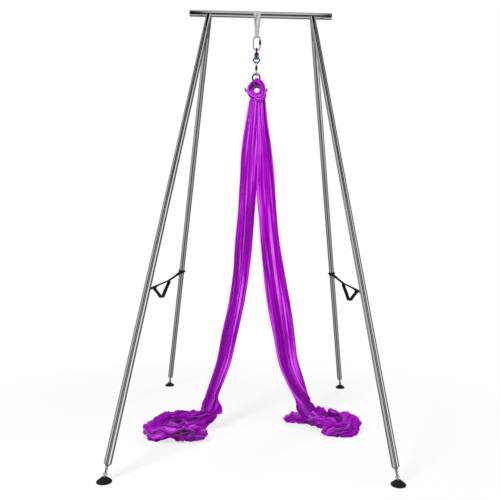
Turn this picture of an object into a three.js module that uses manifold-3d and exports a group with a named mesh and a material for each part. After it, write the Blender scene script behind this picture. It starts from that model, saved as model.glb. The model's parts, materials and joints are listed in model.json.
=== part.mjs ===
// A free-standing aerial rig: a chromed crossbar on four splayed legs with levelling feet, and an
// aerial silk that hangs from it by a sling, two carabiners, a swivel and a rescue eight.
// Millimetres, +Z up, origin on the floor under the middle of the crossbar, +X along the crossbar.
import * as THREE from 'three';
import { mergeVertices } from 'three/addons/utils/BufferGeometryUtils.js';
import Module from 'manifold-3d';

const wasm = await Module();
wasm.setup();

// The whole rig
const rigHeight = 2950;
const seatGap = 0.3;
const cutOverrun = 2;
const weldDistance = 0.001;

// Crossbar and its end caps
const barLength = 1020;
const barDiameter = 45;
const barWall = 2.5;
const barSides = 20;
const capLip = 3;
const capDepth = 20;
const capWall = 3;

// Leg sockets under the bar, and where the legs point
const socketSpread = 742;
const stubLength = 170;
const footSpreadX = 1544;
const footSpreadY = 2100;

// Leg tubes: three sections each, every one with a neck that slips into the tube above
const legDiameter = 42;
const legWall = 2;
const legSides = 16;
const sectionsPerLeg = 3;
const neckLength = 100;
const neckWall = 2;
const neckTaper = 8;
const tubeEndAboveBall = 74;

// Levelling feet
const ballHeight = 20;
const ballDiameter = 18;
const ballPlay = 0.5;
const footSides = 16;
const studDiameter = 14;
const studLength = 130;
const studNeckDiameter = 10;
const studNeckLength = 17;
const footNutHeight = 10;
const footNutFlats = 22;
const plugDepth = 36;
const plugLip = 3;
const plugLipDiameter = 39;
const plugNoseLength = 12;
const plugNoseBaseDiameter = 30;
const plugNoseTipDiameter = 20;
const padDiameter = 80;
const padSoleEdge = 4;
const padEdgeHeight = 9;
const padHeight = 30;
const padTopDiameter = 27;
const padMouthDiameter = 21;
const padLipDiameter = 16;

// Side straps and their handle loops
const strapWidth = 25;
const strapThickness = 2.4;
const strapBoltAboveJoint = 75.5;
const strapScrewAboveJoint = 35.5;
const strapTabLength = 34;
const strapBendRadius = 8;
const strapLowHeight = 992;
const strapLowY = -472;
const strapKinkHeight = 1003;
const strapKinkY = 35;
const handleDrop = 92;
const handleTabLength = 46;
const handleCornerRadius = 42;
const strapBoltDiameter = 8;
const boltHeadDiameter = 14;
const boltHeadHeight = 5;
const boltNutDiameter = 13;
const boltNutHeight = 9;
const screwDiameter = 5;
const screwHeadDiameter = 12;
const screwHeadHeight = 3;
const screwReach = 8;

// Sling over the bar, and the line that the hardware hangs on
const hangX = -26;
const slingDrop = 163;
const slingThickness = 3;
const slingBarWidth = 53;
const slingEyeWidth = 26;
const slingSplitGap = 2;
const slingSplitAboveEye = 62;

// Oval carabiners, used twice
const carabinerLength = 108;
const carabinerWidth = 58;
const rodDiameter = 11;
const rodSides = 8;
const rodRingSides = 16;
const gateDiameter = 10;
const gateShareLow = 0.24;
const gateShareHigh = 0.79;
const hingeTabThickness = 4;
const hingeTabLength = 11;
const noseTabLength = 7;
const tabClearance = 0.4;
const pinDiameter = 3.4;
const sleeveLength = 32;
const sleeveDiameter = 16;
const sleeveNoseGap = 9;
const sleeveGripShare = 0.16;
const sleeveSides = 12;

// Swivel
const swivelRingDiameter = 50;
const swivelRodDiameter = 11;
const swivelBaseDiameter = 32;
const swivelBaseHeight = 13;
const swivelShoulderHeight = 9;
const swivelShoulderDiameter = 20;
const swivelUpperHeight = 57;
const bearingHeight = 3;
const bearingDiameter = 26;
const axleDiameter = 10;
const axleHeadDiameter = 16;
const axleHeadHeight = 4;
const axleInUpper = 14;
const lowerEyeHeight = 58;
const lowerEyeWidth = 56;
const lowerEyeRim = 9;
const lowerEyeThickness = 12;
const lowerEyeBevel = 2.5;
const lowerEyeShoulderRadius = 13;
const lowerEyeTipRadius = 15;
const lowerEyeShoulderDrop = 17;
const lowerEyeShoulderLift = 1;
const rodOnEye = 0.7;

// Rescue eight
const eightSmallDiameter = 65;
const eightSmallRod = 11;
const eightBigDiameter = 105;
const eightBigRod = 14;
const eightNeckLength = 12;
const eightNeckWidth = 20;
const earSpan = 166;
const earRise = 26;
const earRootRod = 12;
const earRod = 9;
const earSteps = 5;

// Silk: hitch, tails and heaps
const silkClearance = 1;
const hitchX = 6;
const hitchLift = 6;
const hitchDepth = 62;
const hitchRingDiameter = 92;
const hitchRingThickness = 48;
const hitchHoleDiameter = 42;
const hitchFolds = 6;
const hitchStops = 14;
const hitchFoldShare = 0.09;
const hitchSwellShare = 0.08;
const neckBandThickness = 24;
const neckBandFolds = 4;
const neckBandShares = [
  [-0.62, -0.3, 0.4],
  [-0.32, 0.12, 0.56],
  [0.05, 0.22, 0.62],
  [0.42, -0.1, 0.62],
  [0.7, -0.72, 0.5],
];
const collarHeight = 42;
const tailTopBelowRing = 81.6;
const tailBottom = 214;
const tailMeetX = -8;
const seamOverrun = 25;
const tailWidth = 113;
const tailDepth = 78;
const tailForward = 150;
const tailReachLeft = 300;
const tailReachRight = 345;
const tailFolds = 11;
const tailFoldShare = 0.13;
const heapHeight = 112;
const heapBundleWidth = 172;
const heapFolds = 9;
const heapFoldShare = 0.13;

// Values that follow from the driving sizes
const barRadius = barDiameter / 2;
const barAxisHeight = rigHeight - barRadius;
const legRadius = legDiameter / 2;
const legBoreRadius = legRadius - legWall;
const neckRadius = legBoreRadius - seatGap;
const ballRadius = ballDiameter / 2;
const studRadius = studDiameter / 2;
const rodRadius = rodDiameter / 2;
const UP = new THREE.Vector3(0, 0, 1);

const finishes = {
  chrome: { color: 0xb9bcc0, roughness: 0.18, metalness: 1 },
  steel: { color: 0x9a9da1, roughness: 0.35, metalness: 1 },
  polished: { color: 0xc6c8ca, roughness: 0.25, metalness: 1 },
  rubber: { color: 0x151414, roughness: 0.8, metalness: 0 },
  webbing: { color: 0x111111, roughness: 0.9, metalness: 0 },
  sling: { color: 0xc9cacb, roughness: 0.85, metalness: 0 },
  red: { color: 0xa81c24, roughness: 0.35, metalness: 0.7 },
  blue: { color: 0x6fa3d4, roughness: 0.3, metalness: 0.7 },
  black: { color: 0x17171a, roughness: 0.4, metalness: 0.6 },
  silk: { color: 0xa206c6, roughness: 0.5, metalness: 0 },
};
const materials = Object.fromEntries(
  Object.entries(finishes).map(([name, finish]) => [
    name,
    new THREE.MeshStandardMaterial({ ...finish, side: THREE.DoubleSide }),
  ]),
);

// Geometry helpers

// Merges the vertices, drops flat triangles and turns the faces outwards.
function closed(geometry) {
  const bare = new THREE.BufferGeometry();
  bare.setAttribute('position', geometry.getAttribute('position').clone());
  if (geometry.index) bare.setIndex(geometry.index.clone());
  const merged = mergeVertices(bare, weldDistance);
  const place = merged.getAttribute('position');
  const point = (i) => new THREE.Vector3().fromBufferAttribute(place, i);
  const faces = [];
  let volume = 0;
  for (let i = 0; i < merged.index.count; i += 3) {
    const [a, b, c] = [0, 1, 2].map((k) => merged.index.getX(i + k));
    if (a === b || b === c || c === a) continue;
    faces.push([a, b, c]);
    volume += point(a).dot(point(b).cross(point(c)));
  }
  merged.setIndex(faces.flatMap(([a, b, c]) => (volume < 0 ? [a, c, b] : [a, b, c])));
  return merged;
}

function solid(geometry) {
  const mesh = closed(geometry);
  return new wasm.Manifold(new wasm.Mesh({
    numProp: 3,
    vertProperties: new Float32Array(mesh.getAttribute('position').array),
    triVerts: new Uint32Array(mesh.index.array),
  }));
}

function surface(manifold) {
  const mesh = manifold.getMesh();
  const geometry = new THREE.BufferGeometry();
  geometry.setAttribute('position', new THREE.BufferAttribute(mesh.vertProperties, 3));
  geometry.setIndex(new THREE.BufferAttribute(mesh.triVerts, 1));
  return geometry;
}

function join(pieces) {
  return pieces.reduce((whole, piece) => whole.add(piece));
}

function cut(body, tools) {
  return tools.reduce((whole, tool) => whole.subtract(tool), body);
}

// Revolves an outline of [radius, height] points about +Z.
function revolve(outline, sides) {
  const points = outline.map(([radius, height]) => new THREE.Vector2(radius, height));
  return new THREE.LatheGeometry(points, sides).rotateX(Math.PI / 2);
}

// A cylinder from `from` to `to`.
function rod(from, to, radius, sides) {
  const along = new THREE.Vector3().subVectors(to, from);
  const geometry = new THREE.CylinderGeometry(radius, radius, along.length(), sides);
  geometry.applyQuaternion(new THREE.Quaternion().setFromUnitVectors(
    new THREE.Vector3(0, 1, 0),
    along.clone().normalize(),
  ));
  return geometry.translate(...from.clone().lerp(to, 0.5).toArray());
}

function block(low, high) {
  const size = new THREE.Vector3().subVectors(high, low);
  const middle = low.clone().lerp(high, 0.5);
  return new THREE.BoxGeometry(size.x, size.y, size.z).translate(...middle.toArray());
}

// A ring of round section about the axis through `centre`.
function torus(centre, axis, ringRadius, sectionRadius, sides, sectionSides) {
  const geometry = new THREE.TorusGeometry(ringRadius, sectionRadius, sectionSides, sides);
  geometry.applyQuaternion(new THREE.Quaternion().setFromUnitVectors(UP, axis));
  return geometry.translate(...centre.toArray());
}

// Joins rings of points into one closed skin, with flat ends or as an endless loop. The second
// half of a mirrored ring splits its quads the other way, so a twisted band keeps its thickness.
function loft(rings, { endless = false, mirrored = false } = {}) {
  const count = rings[0].length;
  const points = rings.flat();
  const faces = [];
  const spans = endless ? rings.length : rings.length - 1;
  for (let i = 0; i < spans; i += 1) {
    const here = i * count;
    const next = ((i + 1) % rings.length) * count;
    for (let j = 0; j < count; j += 1) {
      const k = (j + 1) % count;
      if (mirrored && j >= count / 2) {
        faces.push(here + j, here + k, next + j, here + k, next + k, next + j);
      } else {
        faces.push(here + j, here + k, next + k, here + j, next + k, next + j);
      }
    }
  }
  if (!endless) {
    const middleOf = (ring) => ring
      .reduce((sum, p) => sum.add(p), new THREE.Vector3())
      .divideScalar(ring.length);
    const last = (rings.length - 1) * count;
    points.push(middleOf(rings[0]), middleOf(rings[rings.length - 1]));
    for (let j = 0; j < count; j += 1) {
      const k = (j + 1) % count;
      faces.push(points.length - 2, k, j, points.length - 1, last + j, last + k);
    }
  }
  const geometry = new THREE.BufferGeometry();
  const place = points.flatMap((p) => [p.x, p.y, p.z]);
  geometry.setAttribute('position', new THREE.Float32BufferAttribute(place, 3));
  geometry.setIndex(faces);
  return closed(geometry);
}

// A flat band: each stop has a place, the direction of its width, its width, and maybe how far it
// droops at a distance from its middle line.
function band(stops, thickness, { endless = false, acrossShares = [1, -1] } = {}) {
  const row = (rise) => acrossShares.map((share) => [share * rise, rise]);
  const rings = stops.map((stop, i) => {
    const before = stops[endless ? (i + stops.length - 1) % stops.length : Math.max(i - 1, 0)];
    const after = stops[endless ? (i + 1) % stops.length : Math.min(i + 1, stops.length - 1)];
    const along = new THREE.Vector3().subVectors(after.place, before.place).normalize();
    const face = new THREE.Vector3().crossVectors(along, stop.across).normalize();
    const side = new THREE.Vector3().crossVectors(face, along).multiplyScalar(stop.width / 2);
    const rise = face.multiplyScalar(thickness / 2);
    return [...row(1), ...row(-1)].map(([s, r]) => stop.place.clone()
      .addScaledVector(side, s)
      .addScaledVector(rise, r)
      .addScaledVector(UP, stop.droop ? -stop.droop((s * stop.width) / 2) : 0));
  });
  return loft(rings, { endless, mirrored: true });
}

// Joins rings into a loop whose last ring repeats the first, with its points counted on.
function loftLoop(rings) {
  const count = rings[0].length;
  const points = rings.flat();
  const faces = [];
  for (let i = 0; i < rings.length - 1; i += 1) {
    const here = i * count;
    for (let j = 0; j < count; j += 1) {
      const k = (j + 1) % count;
      faces.push(here + j, here + k, here + count + k, here + j, here + count + k, here + count + j);
    }
  }
  const geometry = new THREE.BufferGeometry();
  const place = points.flatMap((p) => [p.x, p.y, p.z]);
  geometry.setAttribute('position', new THREE.Float32BufferAttribute(place, 3));
  geometry.setIndex(faces);
  return closed(geometry);
}

function piece(name, geometry, finish) {
  const mesh = new THREE.Mesh(geometry, materials[finish]);
  mesh.name = name;
  return mesh;
}

function arc(centre, radius, from, to, steps) {
  return Array.from({ length: steps + 1 }, (_, i) => {
    const angle = from + ((to - from) * i) / steps;
    return [centre[0] + radius * Math.cos(angle), centre[1] + radius * Math.sin(angle)];
  });
}

// Legs are built along +Z from the bar's axis down, in a group turned onto the leg's line.

const sides = { left: -1, right: 1 };
const ends = { front: -1, back: 1 };

function legLine(side, end) {
  const top = new THREE.Vector3(side * (socketSpread / 2), 0, barAxisHeight);
  const ball = new THREE.Vector3(side * (footSpreadX / 2), end * (footSpreadY / 2), ballHeight);
  const along = new THREE.Vector3().subVectors(ball, top);
  const length = along.length();
  along.normalize();
  const x = new THREE.Vector3(1, 0, 0);
  x.addScaledVector(along, -x.dot(along)).normalize();
  const y = new THREE.Vector3().crossVectors(along, x);
  const turn = new THREE.Matrix4().makeBasis(x, y, along);
  return { top, ball, along, length, x, y, turn };
}

function placeOnLeg(geometry, line) {
  return geometry.clone().applyMatrix4(line.turn).translate(...line.top.toArray());
}

const oneLeg = legLine(sides.right, ends.front);
const ballDistance = oneLeg.length;
const tubeEnd = ballDistance - tubeEndAboveBall;
const sectionPitch = (tubeEnd - stubLength) / sectionsPerLeg;
const lowestJoint = tubeEnd - sectionPitch;
const strapBoltDistance = lowestJoint - strapBoltAboveJoint;
const strapScrewDistance = lowestJoint - strapScrewAboveJoint;

// Crossbar

function crossbarPieces() {
  const halfTube = barLength / 2 - capLip - seatGap;
  const inner = barRadius - barWall;
  const tube = revolve([
    [barRadius, -halfTube],
    [barRadius, halfTube],
    [inner, halfTube],
    [inner, -halfTube],
    [barRadius, -halfTube],
  ], barSides).rotateY(Math.PI / 2);
  const plug = inner - seatGap;
  const cap = revolve([
    [0, 0],
    [barRadius, 0],
    [barRadius, capLip],
    [plug, capLip],
    [plug, capLip + capDepth],
    [plug - capWall, capLip + capDepth],
    [plug - capWall, capLip],
    [0, capLip],
  ], barSides);
  const bar = new THREE.Group();
  bar.position.z = barAxisHeight;
  bar.add(piece('crossbar', closed(tube), 'chrome'));
  for (const [name, side] of Object.entries(sides)) {
    const end = piece(`crossbar_cap_${name}`, closed(cap), 'rubber');
    end.rotation.y = -side * (Math.PI / 2);
    end.position.x = side * (barLength / 2);
    bar.add(end);
  }
  return bar;
}

// Two stub tubes that meet under the bar, bored from below for the necks of the legs.
function legSocket(side) {
  const lines = Object.values(ends).map((end) => legLine(side, end));
  const at = (line, distance) => line.top.clone().addScaledVector(line.along, distance);
  const stubs = lines.map((line) => solid(placeOnLeg(revolve([
    [0, 0],
    [legRadius, 0],
    [legRadius, stubLength - seatGap],
    [0, stubLength - seatGap],
  ], legSides), line)));
  const bores = lines.map((line) => solid(placeOnLeg(revolve([
    [0, stubLength - neckLength - seatGap],
    [legBoreRadius, stubLength - neckLength - seatGap],
    [legBoreRadius, stubLength + cutOverrun],
    [0, stubLength + cutOverrun],
  ], legSides), line)));
  const reach = new THREE.Vector3(legDiameter, 0, 0);
  const barCentre = at(lines[0], 0);
  const saddle = solid(rod(
    barCentre.clone().sub(reach),
    barCentre.clone().add(reach),
    barRadius + seatGap,
    barSides,
  ));
  // Only what lies below the bar's axis is left of the stubs' tops.
  const above = solid(block(
    new THREE.Vector3(barCentre.x - legDiameter, -legDiameter, barAxisHeight),
    new THREE.Vector3(barCentre.x + legDiameter, legDiameter, rigHeight + legDiameter),
  ));
  return surface(cut(join(stubs), [saddle, above, ...bores]));
}

// One leg section, with its neck above and its open socket below.
function legSection(index) {
  const top = stubLength + index * sectionPitch;
  const bottom = top + sectionPitch - seatGap;
  const neckBore = neckRadius - neckWall;
  return revolve([
    [neckRadius, top - neckLength],
    [neckRadius, top],
    [legRadius, top],
    [legRadius, bottom],
    [legBoreRadius, bottom],
    [legBoreRadius, top + neckTaper],
    [neckBore, top],
    [neckBore, top - neckLength],
    [neckRadius, top - neckLength],
  ], legSides);
}

// The bolt of the back leg and the screw of the front leg both go through the lowest slip joint.
function strapHole(end) {
  if (end === ends.back) {
    return rod(
      new THREE.Vector3(-legDiameter, 0, strapBoltDistance),
      new THREE.Vector3(legDiameter, 0, strapBoltDistance),
      strapBoltDiameter / 2 + seatGap,
      rodSides,
    );
  }
  return rod(
    new THREE.Vector3(0, 0, strapScrewDistance),
    new THREE.Vector3(0, innerSign(end) * legDiameter, strapScrewDistance),
    screwDiameter / 2 + seatGap,
    rodSides,
  );
}

// Which way local y points towards the rig's middle on this leg.
function innerSign(end) {
  const line = legLine(sides.right, end);
  return Math.sign(-end * line.y.y);
}

function legPlug() {
  const hole = studRadius + seatGap;
  const lipStart = tubeEnd + seatGap;
  return revolve([
    [hole, tubeEnd - plugDepth],
    [neckRadius, tubeEnd - plugDepth],
    [neckRadius, lipStart],
    [plugLipDiameter / 2, lipStart],
    [plugLipDiameter / 2, lipStart + plugLip],
    [plugNoseBaseDiameter / 2, lipStart + plugLip],
    [plugNoseTipDiameter / 2, lipStart + plugNoseLength],
    [hole, lipStart + plugNoseLength],
    [hole, tubeEnd - plugDepth],
  ], legSides);
}

function footStud() {
  const neck = studNeckDiameter / 2;
  const neckMeetsBall = Math.asin(neck / ballRadius);
  const ball = arc([0, 0], ballRadius, Math.PI / 2 - neckMeetsBall, -Math.PI / 2, 5)
    .map(([r, h]) => [Math.max(r, 0), ballDistance - h]);
  ball[ball.length - 1][0] = 0;
  return revolve([
    [0, ballDistance - studLength],
    [studRadius, ballDistance - studLength],
    [studRadius, ballDistance - studNeckLength],
    [neck, ballDistance - studNeckLength],
    ...ball,
  ], sleeveSides);
}

function footNut() {
  const low = ballDistance - studNeckLength - seatGap;
  const high = low - footNutHeight;
  const corner = footNutFlats / Math.sqrt(3);
  const hex = solid(rod(
    new THREE.Vector3(0, 0, high),
    new THREE.Vector3(0, 0, low),
    corner,
    6,
  ));
  const hole = solid(rod(
    new THREE.Vector3(0, 0, high - cutOverrun),
    new THREE.Vector3(0, 0, low + cutOverrun),
    studRadius + seatGap,
    sleeveSides,
  ));
  return surface(hex.subtract(hole));
}

// The rubber pad stands upright, with its ball socket open at the top.
function footPad() {
  const socket = ballRadius + ballPlay;
  const lip = padLipDiameter / 2;
  const lipAngle = Math.acos(lip / socket);
  const bowl = arc([0, ballHeight], socket, lipAngle, -Math.PI / 2, 5);
  bowl[bowl.length - 1][0] = 0;
  return revolve([
    [0, 0],
    [padDiameter / 2 - padSoleEdge, 0],
    [padDiameter / 2, padSoleEdge],
    [padDiameter / 2, padEdgeHeight],
    [padTopDiameter / 2, padHeight],
    [padMouthDiameter / 2, padHeight],
    ...bowl,
  ], footSides);
}

// The band round the back leg that the side strap ends in.
const strapRingInner = legRadius + seatGap;
const strapRingOuter = strapRingInner + strapThickness;

function strapRing() {
  return revolve([
    [strapRingInner, strapBoltDistance - strapWidth / 2],
    [strapRingOuter, strapBoltDistance - strapWidth / 2],
    [strapRingOuter, strapBoltDistance + strapWidth / 2],
    [strapRingInner, strapBoltDistance + strapWidth / 2],
    [strapRingInner, strapBoltDistance - strapWidth / 2],
  ], legSides);
}

// Where the strap runs: down the back of the front leg in a tab, then along to the back leg.
function strapStops(side) {
  const front = legLine(side, ends.front);
  const back = legLine(side, ends.back);
  const across = new THREE.Vector3(1, 0, 0);
  const offLeg = front.y.clone().multiplyScalar(innerSign(ends.front));
  const onLeg = (distance, away) => front.top.clone()
    .addScaledVector(front.along, distance)
    .addScaledVector(offLeg, away);
  const skin = strapRingInner + strapThickness / 2;
  const bend = skin + strapBendRadius;
  const tabTop = strapScrewDistance - strapTabLength / 2;
  const tabEnd = strapScrewDistance + strapTabLength / 2;
  const ring = back.top.clone().addScaledVector(back.along, strapBoltDistance);
  const stopOnRing = ring.clone().addScaledVector(
    back.y,
    innerSign(ends.back) * (strapRingInner + strapThickness / 2),
  );
  const planeX = (y) => THREE.MathUtils.mapLinear(
    y,
    onLeg(tabEnd, bend).y,
    stopOnRing.y,
    onLeg(tabEnd, bend).x,
    stopOnRing.x,
  );
  const low = new THREE.Vector3(planeX(strapLowY), strapLowY, strapLowHeight);
  const kink = new THREE.Vector3(planeX(strapKinkY), strapKinkY, strapKinkHeight);
  const stop = (place, width = across) => ({ place, across: width, width: strapWidth });
  const stops = [stop(onLeg(tabTop, skin)), stop(onLeg(tabEnd, skin))];
  for (const share of [0.3, 0.6]) {
    const angle = share * (Math.PI / 2);
    stops.push(stop(onLeg(
      tabEnd + strapBendRadius * Math.sin(angle),
      bend - strapBendRadius * Math.cos(angle),
    )));
  }
  stops.push(stop(onLeg(tabEnd + strapBendRadius, bend)));
  for (const share of [0.5, 1]) stops.push(stop(stops[4].place.clone().lerp(low, share)));
  for (const share of [0.5, 1]) stops.push(stop(low.clone().lerp(kink, share)));
  const turns = 8;
  for (let i = 1; i <= turns; i += 1) {
    const share = i / turns;
    const turned = THREE.MathUtils.smoothstep(share, 0.5, 1);
    const width = across.clone().multiplyScalar(Math.cos(turned * (Math.PI / 2)))
      .addScaledVector(back.along, -side * Math.sin(turned * (Math.PI / 2)));
    stops.push(stop(kink.clone().lerp(stopOnRing, share), width));
  }
  return { stops, low, kink, back };
}

function sideStrap(side) {
  const { stops, back } = strapStops(side);
  const ring = solid(placeOnLeg(strapRing(), back));
  const inRing = solid(placeOnLeg(rod(
    new THREE.Vector3(0, 0, strapBoltDistance - strapWidth),
    new THREE.Vector3(0, 0, strapBoltDistance + strapWidth),
    (strapRingInner + strapRingOuter) / 2,
    legSides,
  ), back));
  const holes = [
    solid(placeOnLeg(strapHole(ends.back), back)),
    solid(placeOnLeg(strapHole(ends.front), legLine(side, ends.front))),
  ];
  const webbing = solid(band(stops, strapThickness)).subtract(inRing);
  return surface(cut(join([webbing, ring]), holes));
}

// The handle loop is sewn under the strap at both of its kinks and hangs between them.
function handleLoop(side) {
  const { low, kink } = strapStops(side);
  const across = new THREE.Vector3(1, 0, 0);
  const under = new THREE.Vector3(0, 0, -(strapThickness + seatGap));
  const from = low.clone().add(under);
  const to = kink.clone().add(under);
  const along = new THREE.Vector3().subVectors(to, from);
  const span = along.length();
  along.normalize();
  const down = new THREE.Vector3(0, 0, -1);
  const at = (distance, drop) => from.clone()
    .addScaledVector(along, distance)
    .addScaledVector(down, drop);
  const stop = (place) => ({ place, across, width: strapWidth });
  const bottom = span / 2;
  const places = [
    at(handleTabLength, 0),
    at(0, 0),
    at(-strapBendRadius, strapBendRadius / 2),
    at(-strapBendRadius, strapBendRadius * 1.5),
    at(strapBendRadius / 2, strapBendRadius * 2),
  ];
  const corner = [
    [bottom - handleCornerRadius, handleDrop * 0.94],
    [bottom, handleDrop],
    [bottom + handleCornerRadius, handleDrop * 0.94],
  ];
  places.push(at((strapBendRadius + corner[0][0]) / 2, (handleDrop + strapBendRadius) / 2));
  corner.forEach(([distance, drop]) => places.push(at(distance, drop)));
  places.push(at(
    (span - strapBendRadius + corner[2][0]) / 2,
    (handleDrop + strapBendRadius) / 2,
  ));
  places.push(
    at(span - strapBendRadius / 2, strapBendRadius * 2),
    at(span + strapBendRadius, strapBendRadius * 1.5),
    at(span + strapBendRadius, strapBendRadius / 2),
    at(span, 0),
    at(span - handleTabLength, 0),
  );
  return band(places.map(stop), strapThickness);
}

// A through bolt with its head outside and its cap nut towards the rig's middle.
function strapBolt(side) {
  const seat = strapRingOuter + seatGap;
  const inward = -side;
  const stations = [
    [-seat - boltHeadHeight, boltHeadDiameter / 2],
    [-seat, boltHeadDiameter / 2],
    [-seat, strapBoltDiameter / 2],
    [seat, strapBoltDiameter / 2],
    [seat, boltNutDiameter / 2],
    [seat + boltNutHeight / 2, boltNutDiameter / 2],
    [seat + boltNutHeight, strapBoltDiameter / 2],
  ].map(([x, r]) => [r, x]);
  const outline = [[0, stations[0][1]], ...stations, [0, seat + boltNutHeight]];
  return closed(revolve(outline, sleeveSides)
    .rotateY(inward * (Math.PI / 2))
    .translate(0, 0, strapBoltDistance));
}

function strapScrew(end) {
  const seat = strapRingOuter + seatGap;
  const towards = innerSign(end);
  const outline = [
    [0, seat + screwHeadHeight],
    [screwHeadDiameter / 4, seat + screwHeadHeight],
    [screwHeadDiameter / 2, seat],
    [screwDiameter / 2, seat],
    [screwDiameter / 2, seat - strapThickness - screwReach],
    [0, seat - strapThickness - screwReach],
  ];
  return closed(revolve(outline, sleeveSides)
    .rotateX(-towards * (Math.PI / 2))
    .translate(0, 0, strapScrewDistance));
}

function leg(sideName, endName) {
  const side = sides[sideName];
  const end = ends[endName];
  const line = legLine(side, end);
  const label = `${endName}_${sideName}`;
  const group = new THREE.Group();
  group.position.copy(line.top);
  group.quaternion.setFromRotationMatrix(line.turn);
  const hole = solid(strapHole(end));
  ['upper', 'middle', 'lower'].forEach((level, i) => {
    const tube = solid(legSection(i));
    const drilled = i === 0 ? tube : tube.subtract(hole);
    group.add(piece(`leg_${label}_${level}`, surface(drilled), 'chrome'));
  });
  group.add(piece(`leg_plug_${label}`, closed(legPlug()), 'steel'));
  group.add(piece(`foot_stud_${label}`, closed(footStud()), 'steel'));
  group.add(piece(`foot_nut_${label}`, footNut(), 'steel'));
  if (end === ends.back) group.add(piece(`strap_bolt_${sideName}`, strapBolt(side), 'steel'));
  else group.add(piece(`strap_screw_${sideName}`, strapScrew(end), 'steel'));
  const pad = piece(`foot_pad_${label}`, closed(footPad()), 'rubber');
  pad.position.set(line.ball.x, line.ball.y, 0);
  return [group, pad];
}

// The hanging line, worked out from the sling's drop downwards
const slingEyeHeight = barAxisHeight - slingDrop;
const upperTop = slingEyeHeight + seatGap + rodDiameter;
const upperBottom = upperTop - carabinerLength;
const swivelTop = upperBottom + rodDiameter + seatGap + swivelRodDiameter;
const swivelSplit = swivelTop - swivelUpperHeight;
const lowerEyeTop = swivelSplit - bearingHeight;
const lowerEyeSeat = lowerEyeTop - lowerEyeHeight + lowerEyeRim;
const axleSeat = lowerEyeTop - lowerEyeShoulderDrop;
const lowerTop = lowerEyeSeat + rodOnEye + rodDiameter;
const lowerBottom = lowerTop - carabinerLength;
const eightTop = lowerBottom + rodDiameter + seatGap + eightSmallRod;
const smallRingHeight = eightTop - eightSmallDiameter / 2;
const bigRingHeight = eightTop - eightSmallDiameter - eightNeckLength - eightBigDiameter / 2;
const tailTop = bigRingHeight - tailTopBelowRing;
const collarTop = tailTop + collarHeight;

// An endless band round the bar and the carabiner, split into two strands from the bar down.
function sling() {
  const facets = 10;
  const clear = Math.cos(Math.PI / 2 / facets);
  const top = (barRadius + seatGap) / clear + slingThickness / 2;
  const eye = (rodRadius + 2 * seatGap) / clear + slingThickness / 2;
  const eyeCentre = slingEyeHeight + seatGap + rodRadius;
  const bowInside = bowRadius - rodRadius;
  const bowDroop = (x) => bowInside - Math.sqrt(bowInside ** 2 - x ** 2);
  const distance = barAxisHeight - eyeCentre;
  const lean = Math.asin((top - eye) / distance);
  const across = new THREE.Vector3(1, 0, 0);
  const widthAt = (z) => THREE.MathUtils.mapLinear(
    THREE.MathUtils.clamp(z, eyeCentre, barAxisHeight),
    eyeCentre,
    barAxisHeight,
    slingEyeWidth,
    slingBarWidth,
  );
  const round = [
    ...arc([0, barAxisHeight], top, lean, Math.PI - lean, facets),
    [-(top + eye) / 2, (barAxisHeight + eyeCentre) / 2],
    ...arc([0, eyeCentre], eye, Math.PI - lean, 2 * Math.PI + lean, facets),
    [(top + eye) / 2, (barAxisHeight + eyeCentre) / 2],
  ];
  const stops = round.map(([y, z]) => ({
    place: new THREE.Vector3(0, y, z),
    across,
    width: widthAt(z),
    droop: z < eyeCentre + 2 * eye ? bowDroop : null,
  }));
  const split = solid(block(
    new THREE.Vector3(-slingSplitGap / 2, -barDiameter, slingEyeHeight + slingSplitAboveEye),
    new THREE.Vector3(slingSplitGap / 2, barDiameter, rigHeight + barDiameter),
  ));
  const webbing = band(stops, slingThickness, {
    endless: true,
    acrossShares: [1, 0.45, -0.45, -1],
  });
  return surface(solid(webbing).subtract(split));
}

// An oval carabiner in its own XZ plane, its lowest point at z = 0 and its gate on the +X side.
const bowRadius = (carabinerWidth - rodDiameter) / 2;
const gateLow = carabinerLength * gateShareLow;
const gateHigh = carabinerLength * gateShareHigh;
const pinHeight = gateLow + hingeTabLength / 2;

// The frame is the rod's oval without the stretch between its hinge and its nose.
function carabinerOval() {
  const low = rodRadius + bowRadius;
  const start = Math.PI / 5;
  return [
    [bowRadius, gateLow],
    ...arc([0, low], bowRadius, -start, -Math.PI, 8),
    ...arc([0, carabinerLength - low], bowRadius, Math.PI, start, 8),
    [bowRadius, gateHigh],
  ];
}

function carabinerFrame() {
  const oval = carabinerOval();
  const rings = oval.map(([x, z], i) => {
    const before = oval[Math.max(i - 1, 0)];
    const after = oval[Math.min(i + 1, oval.length - 1)];
    const ends = i === 0 || i === oval.length - 1;
    const along = ends
      ? new THREE.Vector3(0, 0, -1)
      : new THREE.Vector3(after[0] - before[0], 0, after[1] - before[1]).normalize();
    const face = new THREE.Vector3().crossVectors(along, new THREE.Vector3(0, 1, 0));
    return Array.from({ length: rodSides }, (_, k) => {
      const angle = ((k + 0.5) * 2 * Math.PI) / rodSides;
      return new THREE.Vector3(x, 0, z)
        .addScaledVector(face, rodRadius * Math.cos(angle))
        .add(new THREE.Vector3(0, rodRadius * Math.sin(angle), 0));
    });
  });
  const centre = (z) => new THREE.Vector3(bowRadius, 0, z);
  const tab = (from, to) => solid(block(
    new THREE.Vector3(bowRadius - rodRadius + seatGap, -hingeTabThickness / 2, from),
    new THREE.Vector3(bowRadius + rodRadius - seatGap, hingeTabThickness / 2, to),
  ));
  const hinge = tab(gateLow - cutOverrun, gateLow + hingeTabLength);
  const nose = tab(gateHigh - noseTabLength, gateHigh + cutOverrun);
  const hole = solid(rod(
    centre(pinHeight).add(new THREE.Vector3(0, -rodDiameter, 0)),
    centre(pinHeight).add(new THREE.Vector3(0, rodDiameter, 0)),
    pinDiameter / 2 + seatGap,
    rodSides,
  ));
  return surface(cut(join([solid(loft(rings)), hinge, nose]), [hole]));
}

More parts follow.
